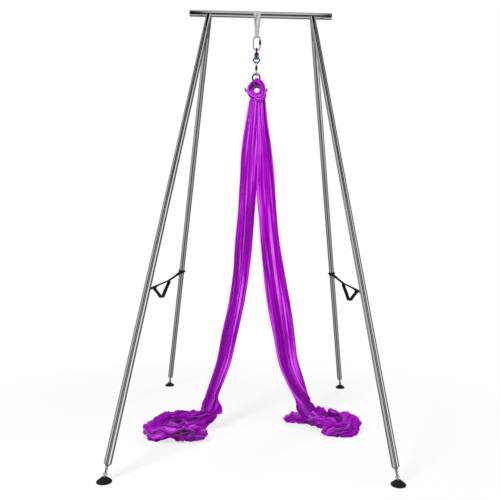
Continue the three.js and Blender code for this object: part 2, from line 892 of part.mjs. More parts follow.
// The gate is slotted at both ends, for the hinge tab below and the nose tab above.
function carabinerGate() {
  const low = gateLow + seatGap;
  const high = gateHigh - 2 * seatGap;
  const centre = (z, y = 0) => new THREE.Vector3(bowRadius, y, z);
  const barrel = solid(rod(centre(pinHeight), centre(high), gateDiameter / 2, sleeveSides));
  const stub = solid(rod(centre(low), centre(pinHeight), gateDiameter / 2, sleeveSides));
  const knuckle = solid(rod(
    centre(pinHeight, -rodDiameter),
    centre(pinHeight, rodDiameter),
    pinHeight - low,
    rodRingSides,
  ));
  const slot = (from, to) => solid(block(
    new THREE.Vector3(bowRadius - rodDiameter, -hingeTabThickness / 2 - tabClearance, from),
    new THREE.Vector3(bowRadius + rodDiameter, hingeTabThickness / 2 + tabClearance, to),
  ));
  const hingeSlot = slot(low - cutOverrun, gateLow + hingeTabLength + gateDiameter / 2);
  const noseSlot = slot(gateHigh - noseTabLength - tabClearance, high + cutOverrun);
  const hole = solid(rod(
    centre(pinHeight, -rodDiameter),
    centre(pinHeight, rodDiameter),
    pinDiameter / 2 + seatGap,
    rodSides,
  ));
  return surface(cut(barrel.add(stub.intersect(knuckle)), [hingeSlot, noseSlot, hole]));
}

function carabinerPin() {
  return rod(
    new THREE.Vector3(bowRadius, -gateDiameter / 2, pinHeight),
    new THREE.Vector3(bowRadius, gateDiameter / 2, pinHeight),
    pinDiameter / 2,
    rodSides,
  );
}

// The lock sleeve turns on the gate: a barrel with a wider grip band at its lower end.
function carabinerSleeve() {
  const top = gateHigh - sleeveNoseGap;
  const bottom = top - sleeveLength;
  const bore = gateDiameter / 2 + seatGap;
  const grip = sleeveDiameter / 2;
  const neck = grip - (grip - bore) / 2;
  const lip = sleeveLength * sleeveGripShare;
  return revolve([
    [bore, bottom],
    [grip, bottom],
    [grip, top - lip * 2],
    [neck, top - lip],
    [neck, top],
    [bore, top],
    [bore, bottom],
  ], sleeveSides).translate(bowRadius, 0, 0);
}

function carabiner(label) {
  const group = new THREE.Group();
  group.add(piece(`${label}_frame`, carabinerFrame(), 'polished'));
  group.add(piece(`${label}_gate`, carabinerGate(), 'polished'));
  group.add(piece(`${label}_pin`, closed(carabinerPin()), 'steel'));
  group.add(piece(`${label}_sleeve`, closed(carabinerSleeve()), 'red'));
  return group;
}

// The swivel's upper eye: a ring in the YZ plane that grows out of a round base.
function swivelUpper() {
  const ringRadius = (swivelRingDiameter - swivelRodDiameter) / 2;
  const ringCentre = new THREE.Vector3(0, 0, swivelTop - swivelRingDiameter / 2);
  const ring = solid(torus(
    ringCentre,
    new THREE.Vector3(1, 0, 0),
    ringRadius,
    swivelRodDiameter / 2,
    rodRingSides,
    rodSides,
  ));
  const base = solid(revolve([
    [0, swivelSplit],
    [swivelBaseDiameter / 2, swivelSplit],
    [swivelBaseDiameter / 2, swivelSplit + swivelBaseHeight],
    [swivelShoulderDiameter / 2, swivelSplit + swivelBaseHeight + swivelShoulderHeight],
    [0, swivelSplit + swivelBaseHeight + swivelShoulderHeight],
  ], rodRingSides));
  const reach = new THREE.Vector3(swivelRingDiameter, 0, 0);
  const eye = solid(rod(
    ringCentre.clone().sub(reach),
    ringCentre.clone().add(reach),
    ringRadius - swivelRodDiameter / 2,
    rodRingSides,
  ));
  const bore = solid(rod(
    new THREE.Vector3(0, 0, swivelSplit - cutOverrun),
    new THREE.Vector3(0, 0, swivelSplit + axleInUpper + seatGap),
    axleDiameter / 2 + seatGap,
    sleeveSides,
  ));
  return surface(cut(join([ring, base]), [eye, bore]));
}

// The outline of the lower eye: two round shoulders over one round tip.
function eyeOutline(inset) {
  const shoulder = Math.max(lowerEyeShoulderRadius - inset, lowerEyeBevel);
  const tip = lowerEyeTipRadius - inset;
  const shoulderX = lowerEyeWidth / 2 - lowerEyeShoulderRadius;
  const shoulderZ = lowerEyeTop - lowerEyeShoulderDrop - lowerEyeShoulderRadius
    + lowerEyeShoulderLift;
  const tipZ = lowerEyeTop - lowerEyeHeight + lowerEyeTipRadius;
  const lean = Math.atan2(shoulderZ - tipZ, shoulderX);
  const spread = Math.hypot(shoulderX, shoulderZ - tipZ);
  const squeeze = Math.asin((shoulder - tip) / spread);
  const side = lean - Math.PI / 2 - squeeze;
  const right = arc([shoulderX, shoulderZ], shoulder, side, Math.PI / 2, 5);
  const left = arc([-shoulderX, shoulderZ], shoulder, Math.PI / 2, Math.PI - side, 5);
  const point = arc([0, tipZ], tip, -Math.PI - side, side, 5);
  return [...right, ...left, ...point].map(([x, z]) => new THREE.Vector2(x, z));
}

function swivelLower() {
  const flat = lowerEyeThickness - 2 * lowerEyeBevel;
  const shape = new THREE.Shape(eyeOutline(0));
  shape.holes.push(new THREE.Path(eyeOutline(lowerEyeRim)));
  const plate = solid(new THREE.ExtrudeGeometry(shape, {
    depth: flat,
    bevelThickness: lowerEyeBevel,
    bevelSize: lowerEyeBevel,
    bevelOffset: -lowerEyeBevel,
    bevelSegments: 1,
    steps: 1,
  }).translate(0, 0, -flat / 2).rotateX(Math.PI / 2));
  const collarBottom = lowerEyeTop - lowerEyeShoulderDrop - lowerEyeRim / 2;
  const collar = solid(revolve([
    [0, collarBottom],
    [swivelBaseDiameter / 2 - lowerEyeBevel, collarBottom],
    [swivelBaseDiameter / 2, lowerEyeTop - lowerEyeShoulderDrop / 2],
    [swivelBaseDiameter / 2, lowerEyeTop],
    [0, lowerEyeTop],
  ], rodRingSides));
  const bore = solid(rod(
    new THREE.Vector3(0, 0, collarBottom - lowerEyeHeight / 2),
    new THREE.Vector3(0, 0, lowerEyeTop + cutOverrun),
    axleDiameter / 2 + seatGap,
    sleeveSides,
  ));
  const headRoom = solid(rod(
    new THREE.Vector3(0, 0, axleSeat - lowerEyeHeight / 4),
    new THREE.Vector3(0, 0, axleSeat),
    axleHeadDiameter / 2 + seatGap,
    sleeveSides,
  ));
  return surface(cut(join([plate, collar]), [bore, headRoom]));
}

// The axle's head sits inside the lower eye, and its end is held in the upper eye's base.
function swivelAxle() {
  const head = axleSeat - seatGap;
  return revolve([
    [0, head - axleHeadHeight],
    [axleHeadDiameter / 2, head - axleHeadHeight],
    [axleHeadDiameter / 2, head],
    [axleDiameter / 2, head],
    [axleDiameter / 2, swivelSplit + axleInUpper],
    [0, swivelSplit + axleInUpper],
  ], sleeveSides);
}

function swivelBearing() {
  const bore = axleDiameter / 2 + seatGap;
  return revolve([
    [bore, lowerEyeTop + seatGap],
    [bearingDiameter / 2, lowerEyeTop + seatGap],
    [bearingDiameter / 2, swivelSplit - seatGap],
    [bore, swivelSplit - seatGap],
    [bore, lowerEyeTop + seatGap],
  ], rodRingSides);
}

// The rescue eight, swollen by `extra` when it serves to clear the silk round it.
function eightSolid(extra) {
  const facing = new THREE.Vector3(0, 1, 0);
  const at = (x, z) => new THREE.Vector3(x, 0, z);
  const smallRadius = (eightSmallDiameter - eightSmallRod) / 2;
  const bigRadius = (eightBigDiameter - eightBigRod) / 2;
  const small = torus(
    at(0, smallRingHeight),
    facing,
    smallRadius,
    eightSmallRod / 2 + extra,
    rodRingSides,
    rodSides,
  );
  const big = torus(
    at(0, bigRingHeight),
    facing,
    bigRadius,
    eightBigRod / 2 + extra,
    barSides,
    rodSides,
  );
  const ears = Object.values(sides).map((side) => {
    const root = at(side * bigRadius, bigRingHeight - earRod);
    const tip = at(side * (earSpan / 2 - earRod / 2), bigRingHeight + earRise - earRod / 2);
    const path = new THREE.QuadraticBezierCurve3(root, at(tip.x, root.z), tip);
    const rings = path.getPoints(earSteps).map((p, i) => {
      const along = path.getTangent(i / earSteps);
      const face = new THREE.Vector3().crossVectors(facing, along);
      const radius = THREE.MathUtils.lerp(earRootRod, earRod, i / earSteps) / 2 + extra;
      return Array.from({ length: rodSides }, (_, k) => {
        const angle = (k * 2 * Math.PI) / rodSides;
        return p.clone()
          .addScaledVector(face, radius * Math.cos(angle))
          .addScaledVector(facing, radius * Math.sin(angle));
      });
    });
    return solid(loft(rings));
  });
  const neck = rod(
    at(0, smallRingHeight - smallRadius),
    at(0, bigRingHeight + bigRadius),
    eightNeckWidth / 2 + extra,
    rodSides,
  );
  neck.scale(1, eightSmallRod / eightNeckWidth, 1);
  return join([solid(small), solid(big), solid(neck), ...ears]);
}

// A gathered bundle of cloth: an oval section with folds, along stops of
// { place, across, wide, deep }, whose folds drift a little from stop to stop.
function bundle(stops, folds, foldShare, drift = 0.35) {
  const rings = stops.map((stop, i) => {
    const before = stops[Math.max(i - 1, 0)].place;
    const after = stops[Math.min(i + 1, stops.length - 1)].place;
    const along = new THREE.Vector3().subVectors(after, before).normalize();
    const depth = new THREE.Vector3().crossVectors(along, stop.across).normalize();
    const across = new THREE.Vector3().crossVectors(depth, along);
    return Array.from({ length: folds * 2 }, (_, k) => {
      const angle = ((k + drift * Math.sin(i)) * Math.PI) / folds;
      const swell = k % 2 ? 1 - foldShare : 1 + foldShare;
      return stop.place.clone()
        .addScaledVector(across, (stop.wide / 2) * swell * Math.cos(angle))
        .addScaledVector(depth, (stop.deep / 2) * swell * Math.sin(angle));
    });
  });
  return loft(rings);
}

// Each tail as shares: of its drop, of its sideways reach, of its forward reach, of tailWidth.
const tailStopShares = {
  left: [
    [0, 0.135, 0, 0.5],
    [0.08, 0.173, 0, 0.7],
    [0.18, 0.215, 0, 0.9],
    [0.29, 0.235, 0, 1],
    [0.39, 0.27, 0, 1],
    [0.49, 0.318, 0, 1.03],
    [0.6, 0.377, 0, 0.93],
    [0.7, 0.47, 0.02, 0.87],
    [0.8, 0.6, 0.14, 0.87],
    [0.9, 0.74, 0.44, 0.81],
    [1, 0.98, 1, 0.77],
  ],
  right: [
    [0, 0.045, 0, 0.44],
    [0.08, 0.077, 0, 0.56],
    [0.18, 0.123, 0, 0.82],
    [0.29, 0.165, 0, 1],
    [0.39, 0.22, 0, 1],
    [0.49, 0.283, 0, 1.04],
    [0.6, 0.375, 0, 1.15],
    [0.7, 0.48, 0, 1.2],
    [0.8, 0.594, 0.03, 1.1],
    [0.9, 0.71, 0.1, 1.04],
    [1, 0.96, 0.2, 0.92],
  ],
};

function tailStops(sideName) {
  const reach = sideName === 'left' ? -tailReachLeft : tailReachRight;
  return tailStopShares[sideName].map(([drop, out, forward, wide]) => ({
    place: new THREE.Vector3(
      reach * out,
      -tailForward * forward,
      THREE.MathUtils.lerp(tailTop, tailBottom, drop),
    ),
    across: new THREE.Vector3(1, 0, 0),
    wide: tailWidth * wide,
    deep: tailDepth * Math.sqrt(wide),
  }));
}

// The two tails share one flat face where they press together at the top.
function silkTail(sideName) {
  const side = sides[sideName];
  const stops = tailStops(sideName);
  const last = stops[stops.length - 1];
  const down = new THREE.Vector3().subVectors(last.place, stops[stops.length - 2].place);
  const below = last.place.clone().addScaledVector(down.normalize(), seamOverrun);
  const cloth = solid(bundle([...stops, { ...last, place: below }], tailFolds, tailFoldShare))
    .trimByPlane([side, 0, 0], side * tailMeetX + seatGap / 2)
    .trimByPlane([0, 0, 1], tailBottom)
    .trimByPlane([0, 0, -1], -tailTop);
  return surface(cloth);
}

// The hitch: cloth wrapped right round the big ring, a band over its neck, and the collar below.
// Its folds slant round the ring, so each ring of points is turned a little against the last.
function silkHitch() {
  const facing = new THREE.Vector3(0, 1, 0);
  const centre = new THREE.Vector3(hitchX, 0, bigRingHeight + hitchLift);
  const points = hitchFolds * 2;
  const wrap = Array.from({ length: hitchStops }, (_, i) => {
    const angle = (i * 2 * Math.PI) / hitchStops;
    const swell = 1 + hitchSwellShare * Math.sin(3 * angle);
    const out = new THREE.Vector3(Math.cos(angle), 0, Math.sin(angle));
    return Array.from({ length: points }, (_, k) => {
      const turn = ((k + (i * points) / hitchStops / 2) * 2 * Math.PI) / points;
      const lobe = (k % 2 ? 1 - hitchFoldShare : 1 + hitchFoldShare) * swell;
      return centre.clone()
        .addScaledVector(out, (hitchRingDiameter + hitchRingThickness * lobe * Math.cos(turn)) / 2)
        .addScaledVector(facing, (hitchDepth / 2) * lobe * Math.sin(turn));
    });
  });
  // The slant has turned the last ring half a circle, so its points are counted on from there.
  wrap.push(wrap[0].map((_, k) => wrap[0][(k + points / 2) % points]));
  const wrapped = loftLoop(wrap);
  const neckHeight = bigRingHeight + eightBigDiameter / 2;
  const overNeck = [1, -1].map((front) => solid(bundle(neckBandShares.map(([x, z, wide]) => ({
    place: new THREE.Vector3(
      (front * x * eightBigDiameter) / 2,
      -front * (eightBigRod / 2 + neckBandThickness / 2),
      neckHeight + (z * eightBigDiameter) / 2,
    ),
    across: facing,
    wide: neckBandThickness,
    deep: (eightBigDiameter / 2) * wide,
  })), neckBandFolds, hitchFoldShare)));
  const collars = Object.keys(sides).map((name) => {
    const stops = tailStops(name);
    const { x } = stops[0].place;
    const tops = [
      { height: collarTop, wideShare: 0.7 },
      { height: tailTop, wideShare: 1 },
      { height: tailTop - seamOverrun, wideShare: 1 },
    ];
    return solid(bundle(tops.map(({ height, wideShare }) => ({
      ...stops[0],
      place: new THREE.Vector3(x - hangX, 0, height),
      wide: stops[0].wide * wideShare,
    })), tailFolds, tailFoldShare));
  });
  const hole = solid(rod(
    centre.clone().addScaledVector(facing, -hitchDepth),
    centre.clone().addScaledVector(facing, hitchDepth),
    hitchHoleDiameter / 2,
    sleeveSides,
  ));
  const whole = join([solid(wrapped), ...overNeck, ...collars]);
  return surface(cut(whole, [eightSolid(silkClearance), hole])
    .trimByPlane([0, 0, 1], tailTop + seatGap));
}

// Heaps: gathered bundles laid on the floor. A run lists [x, y, middle height, thickness, width] in
// shares of the heap's length, depth, height, height and bundle width.
const heapRunShares = {
  left: [
    [[0.47, 0.3, 1.15, 0.8, 0.7], [0.38, 0.28, 0.72, 0.92, 0.82], [0.16, 0.27, 0.5, 1, 0.94],
      [-0.12, 0.23, 0.48, 0.98, 1], [-0.33, 0.12, 0.44, 0.9, 0.95], [-0.41, -0.07, 0.4, 0.82, 0.88],
      [-0.33, -0.25, 0.38, 0.78, 0.86], [-0.1, -0.33, 0.4, 0.82, 0.9],
      [0.17, -0.31, 0.38, 0.78, 0.84], [0.36, -0.27, 0.3, 0.62, 0.7], [0.48, -0.25, 0.2, 0.4, 0.36]],
    [[0.4, -0.01, 0.22, 0.46, 0.5], [0.2, -0.05, 0.34, 0.7, 0.75], [-0.08, -0.07, 0.38, 0.78, 0.8],
      [-0.26, -0.05, 0.3, 0.62, 0.6]],
  ],
  right: [
    [[-0.2, 0.2, 1.2, 0.8, 0.7], [-0.12, 0.2, 0.75, 0.92, 0.8], [0.08, 0.19, 0.52, 1, 0.92],
      [0.27, 0.13, 0.46, 0.94, 0.95], [0.39, 0, 0.42, 0.86, 0.9], [0.4, -0.19, 0.4, 0.82, 0.86],
      [0.31, -0.34, 0.38, 0.78, 0.84], [0.14, -0.4, 0.34, 0.7, 0.78], [0.02, -0.41, 0.22, 0.46, 0.5]],
    [[-0.48, 0.32, 0.18, 0.38, 0.3], [-0.36, 0.33, 0.3, 0.62, 0.55], [-0.16, 0.29, 0.36, 0.74, 0.7],
      [0.02, 0.09, 0.4, 0.82, 0.8], [0.14, -0.12, 0.36, 0.74, 0.8], [0.24, -0.18, 0.3, 0.6, 0.6]],
  ],
};
const heapPlaces = {
  left: { x: -480, y: -275, length: 380, depth: 350 },
  right: { x: 450, y: -115, length: 470, depth: 400 },
};

function silkHeap(sideName) {
  const heap = heapPlaces[sideName];
  const last = tailStops(sideName).pop();
  const runs = heapRunShares[sideName].map((run, r) => {
    const stops = run.map(([x, y, middle, thick, wide]) => ({
      place: new THREE.Vector3(
        heap.x + x * heap.length,
        heap.y + y * heap.depth,
        heapHeight * middle,
      ),
      wide: heapBundleWidth * wide,
      deep: heapHeight * thick,
    }));
    // The first run carries on from the tail, whose width lies along X.
    if (r === 0) {
      const above = last.place.clone().addScaledVector(UP, seamOverrun);
      stops.unshift(...[above, last.place].map((place) => ({
        place,
        wide: last.deep,
        deep: last.wide,
      })));
    }
    stops.forEach((stop, i) => {
      const from = stops[Math.max(i - 1, 0)].place;
      const to = stops[Math.min(i + 1, stops.length - 1)].place;
      const heading = new THREE.Vector3().subVectors(to, from).setZ(0);
      if (i === 0) heading.subVectors(stops[2].place, from).setZ(0);
      stop.across = new THREE.Vector3().crossVectors(UP, heading).normalize();
    });
    return solid(bundle(stops, heapFolds, heapFoldShare));
  });
  // A pocket of air closed in between the runs is filled: only the outer skin is kept.
  const skins = join(runs)
    .trimByPlane([0, 0, 1], 0)
    .trimByPlane([0, 0, -1], seatGap - tailBottom)
    .decompose();
  return surface(skins.reduce((a, b) => (b.volume() > a.volume() ? b : a)));
}

// The assembly

const rig = new THREE.Group();
rig.name = 'aerial_rig';
rig.add(crossbarPieces());
for (const [sideName, side] of Object.entries(sides)) {
  rig.add(piece(`leg_socket_${sideName}`, legSocket(side), 'chrome'));
  for (const endName of Object.keys(ends)) rig.add(...leg(sideName, endName));
  rig.add(piece(`side_strap_${sideName}`, sideStrap(side), 'webbing'));
  rig.add(piece(`handle_loop_${sideName}`, handleLoop(side), 'webbing'));
}

const hanging = new THREE.Group();
hanging.position.x = hangX;
hanging.add(piece('sling', sling(), 'sling'));

const upper = carabiner('upper_carabiner');
upper.position.z = upperBottom;
hanging.add(upper);

hanging.add(piece('swivel_upper_eye', swivelUpper(), 'red'));
hanging.add(piece('swivel_bearing', closed(swivelBearing()), 'steel'));
hanging.add(piece('swivel_axle', closed(swivelAxle()), 'steel'));
hanging.add(piece('swivel_lower_eye', swivelLower(), 'blue'));

// The lower carabiner hangs nose down, edge-on from the front, with its gate towards the front.
const lower = carabiner('lower_carabiner');
lower.rotation.set(Math.PI, 0, Math.PI / 2);
lower.position.z = lowerTop;
hanging.add(lower);

hanging.add(piece('rescue_eight', surface(eightSolid(0)), 'black'));
hanging.add(piece('silk_hitch', silkHitch(), 'silk'));
rig.add(hanging);

for (const sideName of Object.keys(sides)) {
  rig.add(piece(`silk_tail_${sideName}`, silkTail(sideName), 'silk'));
  rig.add(piece(`silk_heap_${sideName}`, silkHeap(sideName), 'silk'));
}

export default rig;
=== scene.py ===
import json
import math

import bmesh
import bpy
import numpy as np
from mathutils import Matrix, Vector

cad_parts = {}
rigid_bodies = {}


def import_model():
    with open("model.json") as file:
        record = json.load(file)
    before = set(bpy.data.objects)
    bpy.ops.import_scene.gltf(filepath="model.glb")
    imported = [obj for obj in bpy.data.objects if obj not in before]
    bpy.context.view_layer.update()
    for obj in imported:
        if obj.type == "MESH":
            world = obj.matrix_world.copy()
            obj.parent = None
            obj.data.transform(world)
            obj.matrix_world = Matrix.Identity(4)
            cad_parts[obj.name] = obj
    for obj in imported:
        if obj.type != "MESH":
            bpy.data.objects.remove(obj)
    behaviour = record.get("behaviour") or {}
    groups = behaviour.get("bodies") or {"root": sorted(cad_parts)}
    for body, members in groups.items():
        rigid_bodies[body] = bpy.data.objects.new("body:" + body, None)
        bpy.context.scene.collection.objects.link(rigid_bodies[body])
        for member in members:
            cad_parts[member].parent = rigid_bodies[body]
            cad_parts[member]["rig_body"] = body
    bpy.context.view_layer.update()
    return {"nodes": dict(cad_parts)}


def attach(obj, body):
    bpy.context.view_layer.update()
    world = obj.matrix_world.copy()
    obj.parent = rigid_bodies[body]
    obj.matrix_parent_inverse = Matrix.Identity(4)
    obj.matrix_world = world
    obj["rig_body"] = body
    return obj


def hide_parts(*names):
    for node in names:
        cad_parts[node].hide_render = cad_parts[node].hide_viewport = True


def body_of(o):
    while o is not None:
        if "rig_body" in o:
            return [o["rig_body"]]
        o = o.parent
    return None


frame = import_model()

MM = 0.001
SIDES = {"left": -1, "right": 1}
ENDS = {"front": -1, "back": 1}
X_WAY = np.array([1.0, 0, 0])

# Sizes in metres, and a count, that the soft pieces share with the solids they stand for
BAR_RADIUS = 22.5 * MM
BAR_AXIS_HEIGHT = 2.9275
LEG_RADIUS = 21 * MM
LEG_TOP_X = 0.371
FOOT_X = 0.772
FOOT_Y = 1.05
BALL_HEIGHT = 20 * MM
STUB_LENGTH = 0.170
TUBE_END_ABOVE_BALL = 74 * MM
SECTIONS_PER_LEG = 3
STRAP_WIDTH = 25 * MM
STRAP_THICKNESS = 2.4 * MM
STRAP_BOLT_ABOVE_JOINT = 75.5 * MM
STRAP_SCREW_ABOVE_JOINT = 35.5 * MM
STRAP_TAB_LENGTH = 34 * MM
STRAP_BEND_RADIUS = 8 * MM
STRAP_LOW = (-0.472, 0.992)
STRAP_KINK = (0.035, 1.003)
HANDLE_DROP = 92 * MM
HANDLE_TAB_LENGTH = 46 * MM
HANDLE_CORNER_RADIUS = 42 * MM
SEAT_GAP = 0.3 * MM
HANG_X = -26 * MM
SLING_DROP = 0.163
SLING_THICKNESS = 3 * MM
SLING_BAR_WIDTH = 53 * MM
SLING_EYE_WIDTH = 26 * MM
CARABINER_ROD_RADIUS = 5.5 * MM

# Where the strap's wrap round the back leg starts and how far it goes, in degrees
STRAP_WRAP_FROM, STRAP_WRAP_TURN = -200, 410

# Screw threads, from the ball up the stud, and each lock sleeve's X, Y, foot and top
STUD_RADIUS = 7 * MM
THREAD_FROM = 28.5 * MM
THREAD_TO = 128.5 * MM
THREAD_PITCH = 2 * MM
SLEEVE_RADIUS = 8 * MM
SLEEVE_RIM = 3 * MM
SLEEVE_RIBS = 24
SLEEVES = {
    "upper": (-2.5 * MM, 0, 2712.12 * MM, 2744.12 * MM),
    "lower": (-26 * MM, -23.5 * MM, 2516.48 * MM, 2548.48 * MM),
}

# Stitches, and how far from the edges of the webbing their rows run
STRAP_STITCH = {"Pitch": 3.6 * MM, "Length": 2.8 * MM, "Thickness": 0.4 * MM}
STRAP_INSETS = (2.5 * MM, 8 * MM)
STRAP_SEAM_MARGIN = 4 * MM
STRAP_END_MARGIN = 12 * MM
STRAP_END_SEAM = 30 * MM
SLING_STITCH = {"Pitch": 3.2 * MM, "Length": 2.4 * MM, "Thickness": 0.38 * MM}
SLING_INSETS = (1.8 * MM, 4.6 * MM)
SLING_SEAM = (22 * MM, 80 * MM)
STITCH_ROWS = 480

# Rounding of the hard solids
WELD_DISTANCE = 0.005 * MM
FLAT_ANGLE = math.radians(0.6)
FLAT_SHAPE_ANGLE = math.radians(60)
CREASE_ANGLE = math.radians(50)
SHARP_ANGLE = math.radians(38)

# The silk, and the flat length of each of its sheets
CUT_WIDTH = 1.5
TAIL_FLAT_LENGTH = 2.25
PILE_FLAT_LENGTH = 1.35
HITCH_FLAT_LENGTH = 0.25
LENGTH_PLEATS = 18
CRUMPLE = 0.31
LAID_DRIFT = 16 * MM
LAID_TWIST = 1.5
FLOOR_GAP = 1.5 * MM
TAIL_TOP = 2.296
TAIL_BOTTOM = 0.214
TAIL_INTO_HITCH = 30 * MM
TAIL_MEET_X = -8 * MM
TAIL_WIDTH = 0.113
TAIL_DEPTH = 78 * MM
TAIL_FORWARD = 0.150
TAIL_REACH = {"left": -0.300, "right": 0.345}
HEAP_HEIGHT = 0.112
HEAP_BUNDLE_WIDTH = 0.172
RING_CENTRE = Vector((-20 * MM, 0, 2.3836))

# The cloth's rolls in a bundle, and the creases between them, as shares of a roll
POINTS_PER_ROLL = 14
ROLL_SHARE = 0.34
CREASE_GAP = 0.16
CREASE_DEPTH = 0.93

# The photo's camera, fitted to the bar, the legs and the feet
CAMERA_PLACE = (0.0198, -3.9483, 1.2114)
CAMERA_TURN = (-0.01554, 0.00807, 0.01694)
CAMERA_LENS = 39.613
CAMERA_SHIFT = (-0.03639, -0.00192)

# How bright the studio is: its dark bands and front wall for metal, and all of it for the rest
DARK = 0.004
WALL = 0.52
PLAIN_LIGHT = 0.30


def unit(v):
    """Vectors of length 1: one, or a row of them."""
    return v / np.linalg.norm(v, axis=-1, keepdims=True)


def squared(across, along):
    """Directions turned square to the way along, with length 1."""
    return unit(across - (across * along).sum(-1, keepdims=True) * along)


def wander(x, y, seed):
    """Smooth noise from -1 to 1 over a plane, the same each time for a seed."""
    size = 64
    table = np.random.default_rng(seed).uniform(-1, 1, (size, size))
    x, y = np.broadcast_arrays(np.asarray(x, float), np.asarray(y, float))
    left, low = np.floor(x).astype(int), np.floor(y).astype(int)
    fx, fy = x - left, y - low
    fx, fy = fx * fx * (3 - 2 * fx), fy * fy * (3 - 2 * fy)

    def corner(i, j):
        return table[(left + i) % size, (low + j) % size]

    bottom = corner(0, 0) * (1 - fx) + corner(1, 0) * fx
    top = corner(0, 1) * (1 - fx) + corner(1, 1) * fx
    return bottom * (1 - fy) + top * fy


def through(stations, rows):
    """Rows evenly spaced along a smooth curve through the stations. The first three values of a
    station are its place, and the others are eased along with it."""
    p = np.array(stations, float)
    p = np.vstack([2 * p[0] - p[1], p, 2 * p[-1] - p[-2]])
    steps = np.linspace(0, 1, 40, endpoint=False)[:, None]
    fine = []
    for a, b, c, d in zip(p, p[1:], p[2:], p[3:]):
        fine.append(0.5 * (2 * b + (c - a) * steps + (2 * a - 5 * b + 4 * c - d) * steps ** 2
                           + (3 * b - a - 3 * c + d) * steps ** 3))
    fine = np.vstack([*fine, p[-2][None]])
    run = np.r_[0, np.cumsum(np.linalg.norm(np.diff(fine[:, :3], axis=0), axis=1))]
    at = np.linspace(0, run[-1], rows)
    return np.column_stack([np.interp(at, run, column) for column in fine.T]), at


def in_scene(name, data):
    """A new object of the scene that holds the data."""
    made = bpy.data.objects.new(name, data)
    bpy.context.scene.collection.objects.link(made)
    return made


def grid_mesh(name, points, uv, closed_columns=False, painted_light_share=None):
    """A smooth mesh over a grid of points, rows by columns, with its UV in metres."""
    rows, columns = points.shape[:2]
    last = columns if closed_columns else columns - 1
    i, j = np.meshgrid(np.arange(rows - 1), np.arange(last), indexing="ij")
    i, j = i.ravel(), j.ravel()
    corners = ((0, 0), (0, 1), (1, 1), (1, 0))
    faces = np.column_stack([(i + down) * columns + (j + right) % columns
                             for down, right in corners])
    mesh = bpy.data.meshes.new(name)
    mesh.from_pydata(points.reshape(-1, 3).tolist(), [], faces.tolist())
    u, v = uv
    places = np.stack([np.column_stack([u[i, j + right], v[i + down]])
                       for down, right in corners], axis=1)
    layer = mesh.uv_layers.new(name="UVMap")
    layer.data.foreach_set("uv", places.reshape(-1).astype(np.float32))
    mesh.shade_smooth()
    # The painted-light share of each point, which the silk's material turns into painted shade and
    # painted highlight
    if painted_light_share is not None:
        kept = mesh.attributes.new("painted_light_share", "FLOAT", "POINT")
        kept.data.foreach_set("value", painted_light_share.reshape(-1).astype(np.float32))
    return in_scene(name, mesh)


def joined(name, parts):
    """One object from several meshes that already have their place."""
    for o in bpy.context.selected_objects:
        o.select_set(False)
    for o in parts:
        o.select_set(True)
    bpy.context.view_layer.objects.active = parts[0]
    bpy.ops.object.join()
    parts[0].name = name
    parts[0].data.name = name
    return parts[0]


def shader_of(name, **sockets):
    """A new material, its node tree and its shader, with constants on the shader's own sockets."""
    made = bpy.data.materials.new(name)
    made.use_nodes = True
    shader = made.node_tree.nodes["Principled BSDF"]
    for socket, value in sockets.items():
        shader.inputs[socket.replace("_", " ")].default_value = value
    return made, made.node_tree, shader


def feed(tree, node, inputs):
    """Link each output to the node's socket, and set each constant on it."""
    for socket, value in inputs.items():
        if isinstance(value, bpy.types.NodeSocket):
            tree.links.new(value, node.inputs[socket])
        else:
            node.inputs[socket].default_value = value


def add(tree, kind, inputs=None, **settings):
    made = tree.nodes.new(kind)
    for name, value in settings.items():
        setattr(made, name, value)
    feed(tree, made, inputs or {})
    return made


def calc(tree, kind, inputs=None, **settings):
    """The first output of a new node."""
    return add(tree, kind, inputs, **settings).outputs[0]


def object_place(tree, scale=(1, 1, 1)):
    place = add(tree, "ShaderNodeTexCoord").outputs["Object"]
    return calc(tree, "ShaderNodeMapping", {"Vector": place, "Scale": scale})


def surface_place(tree, scale=(1, 1, 1)):
    place = calc(tree, "ShaderNodeUVMap", uv_map="UVMap")
    return calc(tree, "ShaderNodeMapping", {"Vector": place, "Scale": scale})


def noise(tree, place, scale, detail):
    return calc(tree, "ShaderNodeTexNoise", {"Vector": place, "Scale": scale, "Detail": detail})


def maths(tree, operation, *values):
    return calc(tree, "ShaderNodeMath", dict(enumerate(values)), operation=operation)


def product(tree, first, *others):
    for other in others:
        first = maths(tree, "MULTIPLY", first, other)
    return first


def between(tree, value, low, high):
    """The value, from 0 to 1, spread from low to high."""
    return calc(tree, "ShaderNodeMapRange", {"Value": value, "To Min": low, "To Max": high})


def tinted(tree, factor, dark, light):
    return add(tree, "ShaderNodeMix", {"Factor": factor, 6: (*dark, 1), 7: (*light, 1)},
               data_type="RGBA").outputs[2]


def bump(tree, height, distance, strength):
    return calc(tree, "ShaderNodeBump",
                {"Height": height, "Distance": distance, "Strength": strength})


def polished_metal(name, dark, light, smooth, rough, grain=140.0, depth=0.015 * MM, edge=1.0):
    """Polished metal: cloudy polish, hair scratches and a very shallow unevenness."""
    made, tree, shader = shader_of(name, Metallic=1.0, Specular_Tint=(edge, edge, edge, 1))
    clouds = noise(tree, object_place(tree), grain / 12, 4.0)
    scratches = noise(tree, object_place(tree, (9, 9, 0.6)), grain, 6.0)
    feed(tree, shader, {
        "Base Color": tinted(tree, clouds, dark, light),
        "Roughness": between(tree, product(tree, clouds, scratches), smooth, rough),
        "Normal": bump(tree, scratches, depth, 0.4),
    })
    return made


